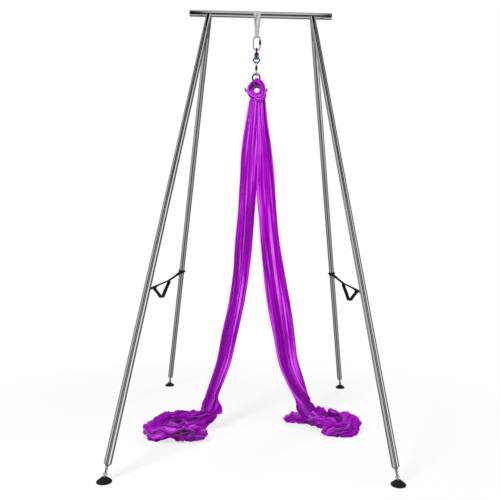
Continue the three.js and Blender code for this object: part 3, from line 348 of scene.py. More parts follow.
def moulded_black(name, colour, rough, pebble, depth=0.05 * MM):
    """Black moulded rubber or plastic: fine pebbled skin, and patches of lighter dust at random."""
    made, tree, shader = shader_of(name, Specular_IOR_Level=0.22)
    pebbles = calc(tree, "ShaderNodeTexVoronoi", {"Vector": object_place(tree), "Scale": pebble})
    dust = noise(tree, object_place(tree), 60.0, 5.0)
    lighter = tuple(c * 2.2 for c in colour)
    feed(tree, shader, {
        "Base Color": tinted(tree, dust, colour, lighter),
        "Roughness": between(tree, dust, rough - 0.1, rough + 0.1),
        "Normal": bump(tree, pebbles, depth, 0.5),
    })
    return made


def woven_webbing(name, dark, light, second=0.75):
    """Flat woven webbing: staggered floats of yarn across the width, with a soft fuzz."""
    made, tree, shader = shader_of(name, Roughness=0.8, Specular_IOR_Level=0.15)
    weave = add(tree, "ShaderNodeTexBrick", {
        "Vector": surface_place(tree), "Scale": 1.0, "Mortar Size": 0.22 * MM,
        "Mortar Smooth": 1.0, "Brick Width": 1.5 * MM, "Row Height": 2.6 * MM,
        "Color1": (*light, 1), "Color2": (*(second * c for c in light), 1), "Mortar": (*dark, 1),
    }, offset=0.5)
    fuzz = noise(tree, surface_place(tree), 900.0, 4.0)
    worn = between(tree, noise(tree, object_place(tree), 35.0, 3.0), 0.0, 0.25)
    base = add(tree, "ShaderNodeMix", {
        "Factor": worn, 6: weave.outputs["Color"], 7: (*(1.3 * c for c in light), 1),
    }, data_type="RGBA")
    height = maths(tree, "ADD", product(tree, weave.outputs["Fac"], -1.0),
                   between(tree, fuzz, 0, 0.4))
    feed(tree, shader, {"Base Color": base.outputs[2],
                        "Normal": bump(tree, height, 0.35 * MM, 0.8)})
    return made


def satin_silk(name, shade, light, painted_highlight):
    """Violet stretch satin: a soft, rough specular shine, a fine knit, long painted highlights
    along the cloth on the tops of its rolls, and painted shade down in the creases."""
    made, tree, shader = shader_of(
        name, Roughness=0.34, Specular_IOR_Level=0.30, Sheen_Weight=0.04, Sheen_Roughness=0.3,
        Sheen_Tint=(0.8, 0.05, 1.0, 1), Specular_Tint=(1.0, 0.25, 1.0, 1))
    # Painted highlight: long stripes of noise along the cloth, which lift the colour towards the
    # highlight colour on the rolls
    highlight_streaks = noise(tree, surface_place(tree, (40, 2.2, 1)), 1.0, 5.0)
    creases = noise(tree, surface_place(tree, (150, 14, 1)), 1.0, 4.0)
    knit = add(tree, "ShaderNodeTexWave",
               {"Vector": surface_place(tree), "Scale": 420.0, "Distortion": 0.6},
               wave_type="BANDS", bands_direction="X").outputs["Fac"]
    # The painted-light share stored with the silk's mesh: 1 out on a roll, less in a crease or a
    # broad hollow
    painted_light = add(tree, "ShaderNodeAttribute", attribute_name="painted_light_share").outputs["Fac"]
    highlight_spread = calc(tree, "ShaderNodeMapRange", {
        "Value": highlight_streaks, "From Min": 0.38, "From Max": 0.64, "To Min": 0.30, "To Max": 1.0})
    # Painted shade and painted highlight: the ramp runs from the shade colour in the creases,
    # through the violet, to the highlight colour on the rolls' tops
    ramp = add(tree, "ShaderNodeValToRGB", {"Fac": product(tree, highlight_spread, painted_light)})
    colours = ramp.color_ramp.elements
    colours[0].color = (*shade, 1)
    colours[1].color = (*painted_highlight, 1)
    colours.new(0.55).color = (*light, 1)
    rise = maths(tree, "ADD", creases, between(tree, knit, 0, 0.06))
    feed(tree, shader, {"Base Color": ramp.outputs["Color"],
                        "Normal": bump(tree, rise, 2.2 * MM, 0.6)})
    return made


FINISHES = {
    "chrome": polished_metal(
        "chrome_tube", (0.52, 0.525, 0.535), (0.56, 0.565, 0.575), 0.05, 0.12, depth=0.002 * MM),
    "fitting_steel": polished_metal(
        "zinc_steel", (0.40, 0.40, 0.39), (0.56, 0.56, 0.54), 0.22, 0.5, 420.0),
    "carabiner_steel": polished_metal(
        "polished_steel", (0.70, 0.71, 0.72), (0.84, 0.85, 0.86), 0.08, 0.25, 300.0),
    "red_anodised": polished_metal(
        "red_anodised", (0.20, 0.006, 0.008), (0.36, 0.016, 0.014), 0.2, 0.4, 420.0),
    "blue_anodised": polished_metal(
        "blue_anodised", (0.03, 0.11, 0.44), (0.12, 0.29, 0.72), 0.2, 0.4, 420.0),
    "black_anodised": polished_metal(
        "black_anodised", (0.006, 0.006, 0.007), (0.014, 0.014, 0.015), 0.28, 0.5, 420.0,
        edge=0.15),
    "cap_plastic": moulded_black("black_plastic", (0.008, 0.008, 0.009), 0.55, 1800.0),
    "foot_rubber": moulded_black("foot_rubber", (0.006, 0.006, 0.007), 0.66, 1200.0, 0.1 * MM),
    "strap_webbing": woven_webbing("black_webbing", (0.002, 0.002, 0.002), (0.008, 0.008, 0.009)),
    "sling_webbing": woven_webbing("grey_webbing", (0.22, 0.22, 0.225), (0.33, 0.33, 0.34), 0.9),
    # The silk's painted shade colour for the creases, its violet, and a painted highlight colour
    # for the rolls' tops
    "silk": satin_silk("violet_silk", (0.08, 0.0, 0.11), (0.38, 0.001, 0.52), (0.68, 0.11, 0.82)),
}
black_thread = moulded_black("black_thread", (0.012, 0.012, 0.013), 0.6, 2400.0)
grey_thread = moulded_black("grey_thread", (0.17, 0.17, 0.175), 0.6, 2400.0)

# Slots whose solids are replaced by soft pieces, and solids that are subdivided twice or once
SOFT_SLOTS = ("strap_webbing", "sling_webbing", "silk")
BENT_AND_TURNED = ("upper_carabiner", "lower_carabiner", "rescue_eight", "swivel", "foot_pad",
                   "foot_stud", "leg_plug")
TUBES = ("crossbar", "leg_front", "leg_back")


def dress_solids():
    """Give every solid the finish of its material slot, and round the facets of the hard ones."""
    for node, o in frame["nodes"].items():
        slots = [place.material.name.split(".")[0] for place in o.material_slots]
        for place, slot in zip(o.material_slots, slots):
            place.material = FINISHES[slot]
        if slots[0] not in SOFT_SLOTS:
            smooth_solid(node, o)


def places_of(mesh):
    places = np.empty(len(mesh.vertices) * 3, np.float32)
    mesh.vertices.foreach_get("co", places)
    return places.reshape(-1, 3)


def applied(o):
    """The mesh that the object's modifiers make, which are then taken off."""
    seen = o.evaluated_get(bpy.context.evaluated_depsgraph_get())
    mesh = bpy.data.meshes.new_from_object(seen)
    o.modifiers.clear()
    return mesh


def subdivided(o, levels):
    """The object's mesh, subdivided. Its first points are the object's own, drawn in a little."""
    finer = o.modifiers.new("finer", "SUBSURF")
    finer.levels = finer.render_levels = levels
    return applied(o)


def stand_in(o, node):
    """The piece stands for the node and rides where it does."""
    body = body_of(frame["nodes"][node])[0]
    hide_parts(node)
    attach(o, body)


def smooth_solid(node, solid):
    """A welded copy of a solid, shaded round between its sharp edges, in the solid's place. Bent,
    turned and tubular ones are subdivided, and first widened by what that would draw them in."""
    mesh = solid.data.copy()
    mesh.name = node + "_round"
    shape = bmesh.new()
    shape.from_mesh(mesh)
    bmesh.ops.remove_doubles(shape, verts=shape.verts, dist=WELD_DISTANCE)
    bmesh.ops.join_triangles(shape, faces=shape.faces, angle_face_threshold=FLAT_ANGLE,
                             angle_shape_threshold=FLAT_SHAPE_ANGLE)
    levels = 2 if node.startswith(BENT_AND_TURNED) else int(node.startswith(TUBES))
    if levels:
        crease = shape.edges.layers.float.new("crease_edge")
        for edge in shape.edges:
            if not edge.is_manifold or edge.calc_face_angle() > CREASE_ANGLE:
                edge[crease] = 1.0
    shape.to_mesh(mesh)
    shape.free()
    made = in_scene(node + "_round", mesh)
    if levels:
        kept = places_of(mesh)
        shrunk = places_of(subdivided(made, levels))[:len(kept)]
        mesh.vertices.foreach_set("co", (2 * kept - shrunk).ravel())
        mesh.update()
        mesh = subdivided(made, levels)
        mesh.name = node + "_round"
        made.data = mesh
    mesh.shade_smooth()
    mesh.set_sharp_from_angle(angle=SHARP_ANGLE)
    stand_in(made, node)


def finish_piece(o, slot, node):
    """Give a soft piece the finish of the slot, in place of the node's solid."""
    o.data.materials.clear()
    o.data.materials.append(FINISHES[slot])
    stand_in(o, node)
    return o


def laid_along(stops, rows):
    """Webbing's middle, its way across, its way off the face, its width and its run, by row."""
    path, run = through([(*place, *across, width) for place, across, width in stops], rows)
    along = unit(np.gradient(path[:, :3], axis=0))
    across = squared(path[:, 3:6], along)
    return path[:, :3], across, np.cross(along, across), path[:, 6], run


def webbing(name, stops, thickness, rows):
    """Webbing along stops of (place, across, width), with rounded selvedges."""
    place, across, off, width, run = laid_along(stops, rows)
    edge = 0.4 * thickness
    flat = np.linspace(1, -1, 9)
    outline = [(s, 1.0, 0.0) for s in flat] + [(-1.0, 0.5, -edge), (-1.0, -0.5, -edge)]
    outline += [(s, -1.0, 0.0) for s in -flat] + [(1.0, -0.5, edge), (1.0, 0.5, edge)]
    points = np.stack([
        place + across * (s * (0.5 * width - edge) + extra)[:, None] + off * (t * thickness / 2)
        for s, t, extra in outline], axis=1)
    u = np.outer(width, np.linspace(0, 2, len(outline) + 1))
    return grid_mesh(name, points, (u, run), closed_columns=True)


def repeated(name, lines, shape, axis, slot, body, finish=None, **sizes):
    """Copies of a small shape, one at each pitch along the lines, made by geometry nodes. The
    shape is stitch, ring or rib, and its axis follows the line, or none does where it's empty."""
    points, edges = [], []
    for line in lines:
        edges += [(len(points) + i, len(points) + i + 1) for i in range(len(line) - 1)]
        points += [tuple(map(float, p)) for p in line]
    mesh = bpy.data.meshes.new(name + "_lines")
    mesh.from_pydata(points, edges, [])
    made = in_scene(name, mesh)

    tree = bpy.data.node_groups.new(name + "_tree", "GeometryNodeTree")
    sockets = {"Lines": "Geometry", "Finish": "Material", **{label: "Float" for label in sizes}}
    for label, kind in sockets.items():
        tree.interface.new_socket(label, in_out="INPUT", socket_type="NodeSocket" + kind)
    tree.interface.new_socket("Mesh", in_out="OUTPUT", socket_type="NodeSocketGeometry")
    given = add(tree, "NodeGroupInput").outputs
    thin = given["Thickness"]
    curve = calc(tree, "GeometryNodeMeshToCurve", {"Mesh": given["Lines"]})
    spaced = calc(tree, "GeometryNodeResampleCurve", {"Curve": curve, "Length": given["Pitch"]},
                  mode="LENGTH")
    if shape == "ring":
        circle, section = (
            calc(tree, "GeometryNodeCurvePrimitiveCircle", {"Resolution": corners, "Radius": size})
            for corners, size in ((16, given["Radius"]), (3, thin)))
        one = calc(tree, "GeometryNodeCurveToMesh", {"Curve": circle, "Profile Curve": section})
    else:
        ball = calc(tree, "GeometryNodeMeshUVSphere", {"Segments": 6, "Rings": 4, "Radius": 1.0})
        half = product(tree, given["Length"], 0.5)
        radii = (half, thin, thin) if axis == "X" else (thin, thin, half)
        scale = calc(tree, "ShaderNodeCombineXYZ", dict(enumerate(radii)))
        one = calc(tree, "GeometryNodeTransform", {"Geometry": ball, "Scale": scale})
    placed = {"Points": spaced, "Instance": one}
    if axis:
        tangent = calc(tree, "GeometryNodeInputTangent")
        placed["Rotation"] = calc(tree, "FunctionNodeAlignRotationToVector", {"Vector": tangent},
                                  axis=axis)
    copies = calc(tree, "GeometryNodeInstanceOnPoints", placed)
    real = calc(tree, "GeometryNodeRealizeInstances", {"Geometry": copies})
    dressed = calc(tree, "GeometryNodeSetMaterial", {"Geometry": real, "Material": given["Finish"]})
    add(tree, "NodeGroupOutput", {"Mesh": dressed})

    modifier = made.modifiers.new("repeat", "NODES")
    modifier.node_group = tree
    wanted = dict(sizes, Finish=finish or FINISHES[slot])
    for item in tree.interface.items_tree:
        if item.name in wanted:
            modifier[item.identifier] = wanted[item.name]
    made.data = applied(made)
    made.data.name = name
    made.data.shade_smooth()
    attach(made, body)


def seams(rows_of, first, last, face, lift, insets):
    """Lines of stitching on webbing's face between two distances along it: one at each inset
    from the edges, and one across at each end."""
    place, across, off, width, run = rows_of
    rows = np.flatnonzero((run >= first) & (run <= last))
    reach = face * lift
    lines = []
    for inset in insets:
        for side in (-1, 1):
            aside = side * (0.5 * width[rows] - inset)
            lines.append(place[rows] + across[rows] * aside[:, None] + off[rows] * reach)
    for row in (rows[0], rows[-1]):
        half = 0.5 * width[row] - min(insets)
        steps = np.linspace(-half, half, 8)[:, None]
        lines.append(place[row] + across[row] * steps + off[row] * reach)
    return lines


def leg_line(side, end):
    """A leg's top, its way down, its way off the face that looks front or back, and its length."""
    top = np.array([side * LEG_TOP_X, 0, BAR_AXIS_HEIGHT])
    ball = np.array([side * FOOT_X, end * FOOT_Y, BALL_HEIGHT])
    length = np.linalg.norm(ball - top)
    along = (ball - top) / length
    return top, along, np.cross(along, squared(X_WAY, along)), length


def strap_run(side):
    """Where a side strap runs, from its tab on the front leg to the ring round the back leg."""
    top, along, off, length = leg_line(side, ENDS["front"])
    back_top, back_along, back_off, _ = leg_line(side, ENDS["back"])
    tube_end = length - TUBE_END_ABOVE_BALL
    joint = tube_end - (tube_end - STUB_LENGTH) / SECTIONS_PER_LEG
    bolt, screw = joint - STRAP_BOLT_ABOVE_JOINT, joint - STRAP_SCREW_ABOVE_JOINT
    off = off if off[1] > 0 else -off
    inner = back_off if back_off[1] < 0 else -back_off
    skin = LEG_RADIUS + SEAT_GAP + STRAP_THICKNESS / 2
    bend = skin + STRAP_BEND_RADIUS
    tab_top, tab_end = screw - STRAP_TAB_LENGTH / 2, screw + STRAP_TAB_LENGTH / 2

    def on_leg(distance, away):
        return top + along * distance + off * away

    ring = back_top + back_along * bolt
    on_ring = ring + inner * skin
    start = on_leg(tab_end, bend)

    def hung(y, z):
        share = (y - start[1]) / (on_ring[1] - start[1])
        return np.array([start[0] + share * (on_ring[0] - start[0]), y, z])

    low, kink = hung(*STRAP_LOW), hung(*STRAP_KINK)
    across = X_WAY
    places = [on_leg(distance, skin) for distance in (tab_top, screw, tab_end)]
    for angle in (0.3 * math.pi / 2, 0.6 * math.pi / 2, math.pi / 2):
        places.append(on_leg(tab_end + STRAP_BEND_RADIUS * math.sin(angle),
                             bend - STRAP_BEND_RADIUS * math.cos(angle)))
    last = places[-1]
    places += [last + (low - last) * k for k in (0.33, 0.66, 1)]
    places += [low + (kink - low) * k for k in (0.25, 0.5, 0.75, 1)]
    stops = [(place, across, STRAP_WIDTH) for place in places]
    for k in np.arange(1, 9) / 8:
        turned = min(max((k - 0.5) / 0.5, 0), 1)
        turned = turned * turned * (3 - 2 * turned) * math.pi / 2
        width_way = across * math.cos(turned) - side * back_along * math.sin(turned)
        stops.append((kink + (on_ring - kink) * k, width_way, STRAP_WIDTH))
    return stops, low, kink, (ring, back_along, inner, skin)


def side_strap(side, label):
    """The strap, and its wrap round the back leg, which ends on top of itself."""
    stops, _, _, (ring, along, inner, skin) = strap_run(side)
    run = webbing("strap_run_" + label, stops, STRAP_THICKNESS, 120)
    turn = np.cross(along, inner)
    wrap = []
    steps, flat = 24, 20
    for k in range(steps + 1):
        angle = math.radians(STRAP_WRAP_FROM + k * STRAP_WRAP_TURN / steps)
        lift = 1.1 * STRAP_THICKNESS * max(0, (k - flat) / (steps - flat))
        away = inner * math.cos(angle) + turn * math.sin(angle)
        wrap.append((ring + away * (skin + lift), along, STRAP_WIDTH))
    loop = webbing("strap_wrap_" + label, wrap, STRAP_THICKNESS, 90)
    made = joined("side_strap_webbing_" + label, [run, loop])
    finish_piece(made, "strap_webbing", "side_strap_" + label)
    strap_stitches(side, label)


def strap_stitches(side, label):
    """The handle's two tabs are sewn to the strap, and the strap's end round the back leg."""
    stops, low, kink, _ = strap_run(side)
    rows_of = laid_along(stops, STITCH_ROWS)
    place, _, off, _, run = rows_of
    start, stop = (run[np.argmin(np.linalg.norm(place - point, axis=1))] for point in (low, kink))
    above = STRAP_THICKNESS / 2
    below = -(STRAP_THICKNESS * 1.5 + SEAT_GAP)
    up = -1 if off[np.argmin(abs(run - (start + stop) / 2)), 2] < 0 else 1
    lines = []
    for lift in (above, below):
        for first, last in ((start + STRAP_SEAM_MARGIN, start + HANDLE_TAB_LENGTH),
                            (stop - HANDLE_TAB_LENGTH, stop - STRAP_SEAM_MARGIN)):
            lines += seams(rows_of, first, last, up, lift, STRAP_INSETS)
    end = run[-1] - STRAP_END_MARGIN
    for lift in (above, -above):
        lines += seams(rows_of, end - STRAP_END_SEAM, end, up, lift, STRAP_INSETS)
    repeated("strap_stitches_" + label, lines, "stitch", "X", "strap_webbing", "rig_frame",
             black_thread, **STRAP_STITCH)


def handle_loop(side, label):
    """The loop is sewn under the strap at its two kinks and hangs as a soft triangle between."""
    _, low, kink, _ = strap_run(side)
    under = np.array([0, 0, -(STRAP_THICKNESS + SEAT_GAP)])
    start, stop = low + under, kink + under
    span = np.linalg.norm(stop - start)
    along = (stop - start) / span
    r = STRAP_BEND_RADIUS
    middle = span / 2
    shoulder = (r + middle - HANDLE_CORNER_RADIUS) / 2
    hangs = [
        (HANDLE_TAB_LENGTH, 0), (HANDLE_TAB_LENGTH / 2, 0), (0, 0), (-r, r / 2), (-r, r * 1.5),
        (r / 2, r * 2), (shoulder, (HANDLE_DROP + r) / 2),
        (middle - HANDLE_CORNER_RADIUS, HANDLE_DROP * 0.94), (middle, HANDLE_DROP),
    ]
    hangs += [(span - distance, drop) for distance, drop in reversed(hangs[:-1])]
    stops = [(start + along * distance + np.array([0, 0, -drop]), X_WAY, STRAP_WIDTH)
             for distance, drop in hangs]
    made = webbing("handle_webbing_" + label, stops, STRAP_THICKNESS, 140)
    finish_piece(made, "strap_webbing", "handle_loop_" + label)


def sling_stops(side):
    """One strand of the sling: over the bar, down, through the upper carabiner and up again."""
    eye_z = BAR_AXIS_HEIGHT - SLING_DROP + SEAT_GAP + CARABINER_ROD_RADIUS
    top = BAR_RADIUS + SEAT_GAP + SLING_THICKNESS / 2
    eye = CARABINER_ROD_RADIUS + 2 * SEAT_GAP + SLING_THICKNESS / 2
    lean = math.asin((top - eye) / (BAR_AXIS_HEIGHT - eye_z))

    def arc(radius, z, first, turn, steps=12):
        angles = [first + turn * k / steps for k in range(steps + 1)]
        return [(radius * math.cos(angle), z + radius * math.sin(angle)) for angle in angles]

    def straight(front, share):
        return (front * (top + (eye - top) * share) * math.cos(lean),
                BAR_AXIS_HEIGHT + (eye_z - BAR_AXIS_HEIGHT) * share)

    spots = arc(top, BAR_AXIS_HEIGHT, lean, math.pi - 2 * lean)
    spots += [straight(-1, k / 6) for k in range(1, 6)]
    spots += arc(eye, eye_z, math.pi - lean, math.pi + 2 * lean)
    spots += [straight(1, 1 - k / 6) for k in range(1, 6)]
    stops = []
    for y, z in spots:
        share = min(max((z - eye_z) / (BAR_AXIS_HEIGHT - eye_z), 0), 1)
        whole = SLING_EYE_WIDTH + (SLING_BAR_WIDTH - SLING_EYE_WIDTH) * share
        x = HANG_X + side * (whole / 4 + 0.4 * MM)
        turn = (0.85 if side < 0 else -0.35) * math.sin(math.pi * min(1.6 * (1 - share), 1))
        turn = turn if y < 0 else -turn
        stops.append(((x, y, z), (math.cos(turn), math.sin(turn), 0), whole / 2 - 1.0 * MM))
    return stops + stops[:1], eye_z


def sling():
    """Two strands of webbing side by side, each sewn together above the upper carabiner."""
    strands, stitches = [], []
    for side in (-1, 1):
        stops, eye_z = sling_stops(side)
        strands.append(webbing(f"sling_strand_{side}", stops, SLING_THICKNESS, 200))
        rows_of = laid_along(stops, STITCH_ROWS)
        place, _, off, _, run = rows_of
        low, high = (eye_z + height for height in SLING_SEAM)
        for front in (-1, 1):
            lap = np.flatnonzero((place[:, 1] * front > 0) & (place[:, 2] > low)
                                 & (place[:, 2] < high))
            face = 1 if off[lap[0], 1] * front > 0 else -1
            stitches += seams(rows_of, run[lap[0]], run[lap[-1]], face, SLING_THICKNESS / 2,
                              SLING_INSETS)
    made = joined("sling_webbing", strands)
    finish_piece(made, "sling_webbing", "sling")
    repeated("sling_stitches", stitches, "stitch", "X", "sling_webbing", "rig_frame",
             grey_thread, **SLING_STITCH)


def foot_threads():
    """The screw thread on each foot's stud, from its nut up into the leg's plug."""
    for side, across in SIDES.items():
        for end, back in ENDS.items():
            top, along, _, length = leg_line(across, back)
            ball = top + along * length
            steps = np.linspace(THREAD_FROM, THREAD_TO, 40)[:, None]
            label = end + "_" + side
            repeated("foot_thread_" + label, [ball - along * steps], "ring", "Z",
                     "fitting_steel", "foot_stud_" + label, Pitch=THREAD_PITCH,
                     Radius=STUD_RADIUS - 0.05 * MM, Thickness=0.3 * MM)


def sleeve_grips():
    """Fine ribs round each lock sleeve, for the fingers."""
    turn = np.linspace(0, 2 * math.pi, 49)
    for label, (x, y, low, high) in SLEEVES.items():
        ring = np.column_stack([x + SLEEVE_RADIUS * np.cos(turn), y + SLEEVE_RADIUS * np.sin(turn),
                                np.full(len(turn), (low + high) / 2)])
        repeated("sleeve_grip_" + label, [ring], "rib", "", "red_anodised",
                 label + "_sleeve", Pitch=2 * math.pi * SLEEVE_RADIUS / SLEEVE_RIBS,
                 Length=high - low - 2 * SLEEVE_RIM, Thickness=0.45 * MM)


def pleat_lines(run, pleats, seed):
    """Where each crease lies round the bundle, how deep it goes and how it leans, row by row.
    The creases wander, fade and deepen along the cloth."""
    s = run[:, None]
    chance = np.random.default_rng(seed)
    lines = np.arange(pleats + 1)[None, :]
    wide = chance.uniform(0.45, 1.7, pleats)[None, :]
    wide = wide * (1 + 0.42 * wander(lines[:, :-1] * 3.71, 1.5 * s, seed + 1))
    places = np.concatenate([np.zeros((len(run), 1)), np.cumsum(wide, axis=1)], axis=1)
    places /= places[:, -1:]
    depth = chance.uniform(0.72, 1.0, pleats + 1)[None, :]
    depth = depth * (0.84 + 0.16 * wander(lines * 2.9, 2.3 * s, seed + 2))
    lean = 0.8 * wander(lines * 1.7, 1.4 * s, seed + 3)
    return places, depth, lean


def ridges(x, y, seed):
    """Noise with sharp ridges, from -1 to 1, as in crumpled cloth."""
    return 1 - 2.6 * np.abs(wander(x, y, seed))


def bundle_ways(place, across):
    """Directions across the bundle and through its depth, with no sudden turn."""
    along = unit(np.gradient(place, axis=0))
    across = np.array(across, float)
    for i in range(1, len(across)):
        if across[i].dot(across[i - 1]) < 0:
            across[i] = -across[i]
    reach = 9
    padded = np.pad(across, ((reach, reach), (0, 0)), mode="edge")
    across = squared(sum(padded[k:k + len(place)] for k in range(2 * reach + 1)), along)
    return across, np.cross(along, across)


def kept_off(distance, soft, steepest):
    """Distances from a wall: those below soft are eased, so that none reaches the wall."""
    return np.where(distance > soft, distance,
                    soft * np.exp(np.clip(distance / soft - 1, -steepest, 0)))


def gathered(path, run, across, pleats, seed, twist=0.0, crumple=0.0, beside=None, floor=None):
    """Cloth gathered into a bundle along a path of (x, y, z, wide, deep) rows. It lies round the
    section in rolls with narrow deep creases between them, its two selvedges at the back.
    Gives the points, the painted-light share at each point, which is 1 out on a roll and less down
    in a crease and in a broad hollow, where the silk's colour is painted darker as shade, and the
    UV in metres."""
    rows = len(run)
    place, wide, thick = path[:, :3], path[:, 3], path[:, 4]
    across, through_way = bundle_ways(place, across)
    t = np.linspace(0, pleats, pleats * POINTS_PER_ROLL + 1)
    pleat = np.minimum(t.astype(int), pleats - 1)
    part = 2 * (t - pleat) - 1
    line = pleat + (part > 0)
    places, depth, lean = pleat_lines(run, pleats, seed)
    u, s = t[None, :] / pleats, run[:, None]

    # Where each point lies round the section, from 0 to 1
    half = np.abs(part)[None, :]
    down = np.clip((half - ROLL_SHARE) / (1 - ROLL_SHARE), 0, 1)
    on_roll = np.minimum(half / ROLL_SHARE, 1)
    reach = (1 - CREASE_GAP) * on_roll + CREASE_GAP * down
    middle = 0.5 * (places[:, pleat] + places[:, pleat + 1])
    half_width = 0.5 * (places[:, pleat + 1] - places[:, pleat])
    around = middle + np.sign(part)[None, :] * reach * half_width
    around += lean[:, line] * down * 0.5 / pleats

    # How far out it lies, as a share of the section's radius
    roll = 0.10 + 1.6 * half_width
    amount = np.broadcast_to(crumple, rows)[:, None]
    crease = (CREASE_DEPTH - roll) * depth[:, line] * down * (1 - amount)
    share = 1 - roll * on_roll ** 2.4 - crease
    broad = wander(around * 7, 1.1 * s, seed + 4) + 0.4 * wander(around * 15, 2.3 * s, seed + 5)
    share *= 1 + 0.20 * np.clip(broad, -1, 1)
    share += 0.016 * wander(u * pleats * 2.6, 9.0 * s, seed + 6)
    share *= 1 - 0.08 * np.clip((u - 0.93) / 0.07, 0, 1)
    crumpled = amount.max() > 0
    if crumpled:
        bend = 0.8 * wander(around * 6, 8 * s, seed + 7)
        buckle = ridges(around * 5 + bend, 9 * s + bend, seed + 8)
        buckle += 0.6 * ridges(around * 12 - bend, 25 * s + bend, seed + 9)
        share *= 1 + amount * (buckle - 0.2)
        around += 0.05 * amount / 0.2 * wander(around * 7, 11 * s, seed + 10)

    turn = np.broadcast_to(twist, rows)[:, None]
    angle = math.pi / 2 + turn + 2 * math.pi * (around * 1.03 - 0.015)
    aside = 0.5 * wide[:, None] * share * np.cos(angle)
    off = 0.5 * thick[:, None] * share * np.sin(angle)
    points = (place[:, None, :] + across[:, None, :] * aside[..., None]
              + through_way[:, None, :] * off[..., None])
    if crumpled:
        x, y = points[..., 0] + points[..., 2] * 0.6, points[..., 1] - points[..., 2] * 0.4
        shift = np.stack([0.9 * wander(x * 13 + k * 9, y * 13, seed + 11 + k)
                          + 0.35 * ridges(x * 24 + k * 9, y * 24, seed + 14 + k)
                          for k in range(3)], axis=-1)
        points += shift * LAID_DRIFT * np.minimum(amount / 0.15, 1)[..., None]
    if beside is not None:
        side, x = beside
        points[..., 0] = x + side * kept_off(side * (points[..., 0] - x), 4 * MM, 6)
    if floor is not None:
        points[..., 2] = floor + kept_off(points[..., 2] - floor, 6 * MM, 3)
    # Painted shade: the share is lower in the creases and in the broad hollows, so that the silk's
    # colour darkens there
    painted_light_share = np.clip(1 - 0.9 * depth[:, line] * down, 0, 1) ** 1.2
    painted_light_share *= np.clip(0.78 + 0.65 * broad, 0.22, 1)
    return points, painted_light_share, (np.repeat(u * CUT_WIDTH, rows, axis=0), run)


def tucked(path, run, start=False, reach=45 * MM, sink=0.4):
    """The bundle rounded off at its end, where the hem is tucked under, or also at its start. A
    bundle that lies on the floor sinks to it there."""
    left = run[-1] - run
    if start:
        left = np.minimum(left, run)
    left = np.clip(left / reach, 0.0, 1)
    scale = np.sqrt(1 - (1 - left) ** 2) * 0.97 + 0.03
    path[:, 3:5] *= scale[:, None]
    path[:, 2] -= sink * (1 - scale) * path[:, 2]
    return path


def cloth_piece(name, cloth, first=0, last=None):
    """The rows of a gathered cloth from first to last, as one mesh."""
    points, painted_light_share, (u, run) = cloth
    part = slice(first, last)
    return grid_mesh(name, points[part], (u[part], run[part]), painted_light_share=painted_light_share[part])


# Down each tail: shares of its drop, of its reach to the side and forward, and of its width
TAIL_SHARES = {
    "left": [
        (0, 0.135, 0, 0.5), (0.08, 0.173, 0, 0.7), (0.18, 0.215, 0, 0.9), (0.29, 0.235, 0, 1),
        (0.39, 0.27, 0, 1), (0.49, 0.318, 0, 1.03), (0.6, 0.377, 0, 0.93),
        (0.7, 0.47, 0.02, 0.87), (0.8, 0.6, 0.14, 0.87), (0.9, 0.74, 0.44, 0.81),
        (1, 0.98, 1, 0.77),
    ],
    "right": [
        (0, 0.045, 0, 0.44), (0.08, 0.077, 0, 0.56), (0.18, 0.123, 0, 0.82),
        (0.29, 0.165, 0, 1), (0.39, 0.22, 0, 1), (0.49, 0.283, 0, 1.04), (0.6, 0.375, 0, 1.15),
        (0.7, 0.48, 0, 1.2), (0.8, 0.594, 0.03, 1.1), (0.9, 0.71, 0.1, 1.04),
        (1, 0.96, 0.2, 0.92),
    ],
}

# Along each heap's two bundles: X and Y in its area, then middle height, thickness and width as
# shares. Below them, each heap's middle and the length and depth of its area.
HEAP_RUNS = {
    "left": [
        [(0.47, 0.3, 1.15, 0.8, 0.7), (0.38, 0.28, 0.72, 0.92, 0.82), (0.16, 0.27, 0.5, 1, 0.94),
         (-0.12, 0.23, 0.48, 0.98, 1), (-0.33, 0.12, 0.44, 0.9, 0.95),
         (-0.41, -0.07, 0.4, 0.82, 0.88), (-0.33, -0.25, 0.38, 0.78, 0.86),
         (-0.1, -0.33, 0.4, 0.82, 0.9), (0.17, -0.31, 0.38, 0.78, 0.84),
         (0.36, -0.27, 0.3, 0.62, 0.7), (0.48, -0.25, 0.2, 0.4, 0.36)],
        [(0.4, -0.01, 0.22, 0.46, 0.5), (0.2, -0.05, 0.34, 0.7, 0.75),
         (-0.08, -0.07, 0.38, 0.78, 0.8), (-0.26, -0.05, 0.3, 0.62, 0.6)],
    ],
    "right": [
        [(-0.2, 0.2, 1.2, 0.8, 0.7), (-0.12, 0.2, 0.75, 0.92, 0.8), (0.08, 0.19, 0.52, 1, 0.92),
         (0.27, 0.13, 0.46, 0.94, 0.95), (0.39, 0, 0.42, 0.86, 0.9),
         (0.4, -0.19, 0.4, 0.82, 0.86), (0.31, -0.34, 0.38, 0.78, 0.84),
         (0.14, -0.4, 0.34, 0.7, 0.78), (0.02, -0.41, 0.22, 0.46, 0.5)],
        [(-0.48, 0.32, 0.18, 0.38, 0.3), (-0.36, 0.33, 0.3, 0.62, 0.55),
         (-0.16, 0.29, 0.36, 0.74, 0.7), (0.02, 0.09, 0.4, 0.82, 0.8),
         (0.14, -0.12, 0.36, 0.74, 0.8), (0.24, -0.18, 0.3, 0.6, 0.6)],
    ],
}
HEAP_PLACES = {"left": (-0.480, -0.275, 0.380, 0.350), "right": (0.450, -0.115, 0.470, 0.400)}


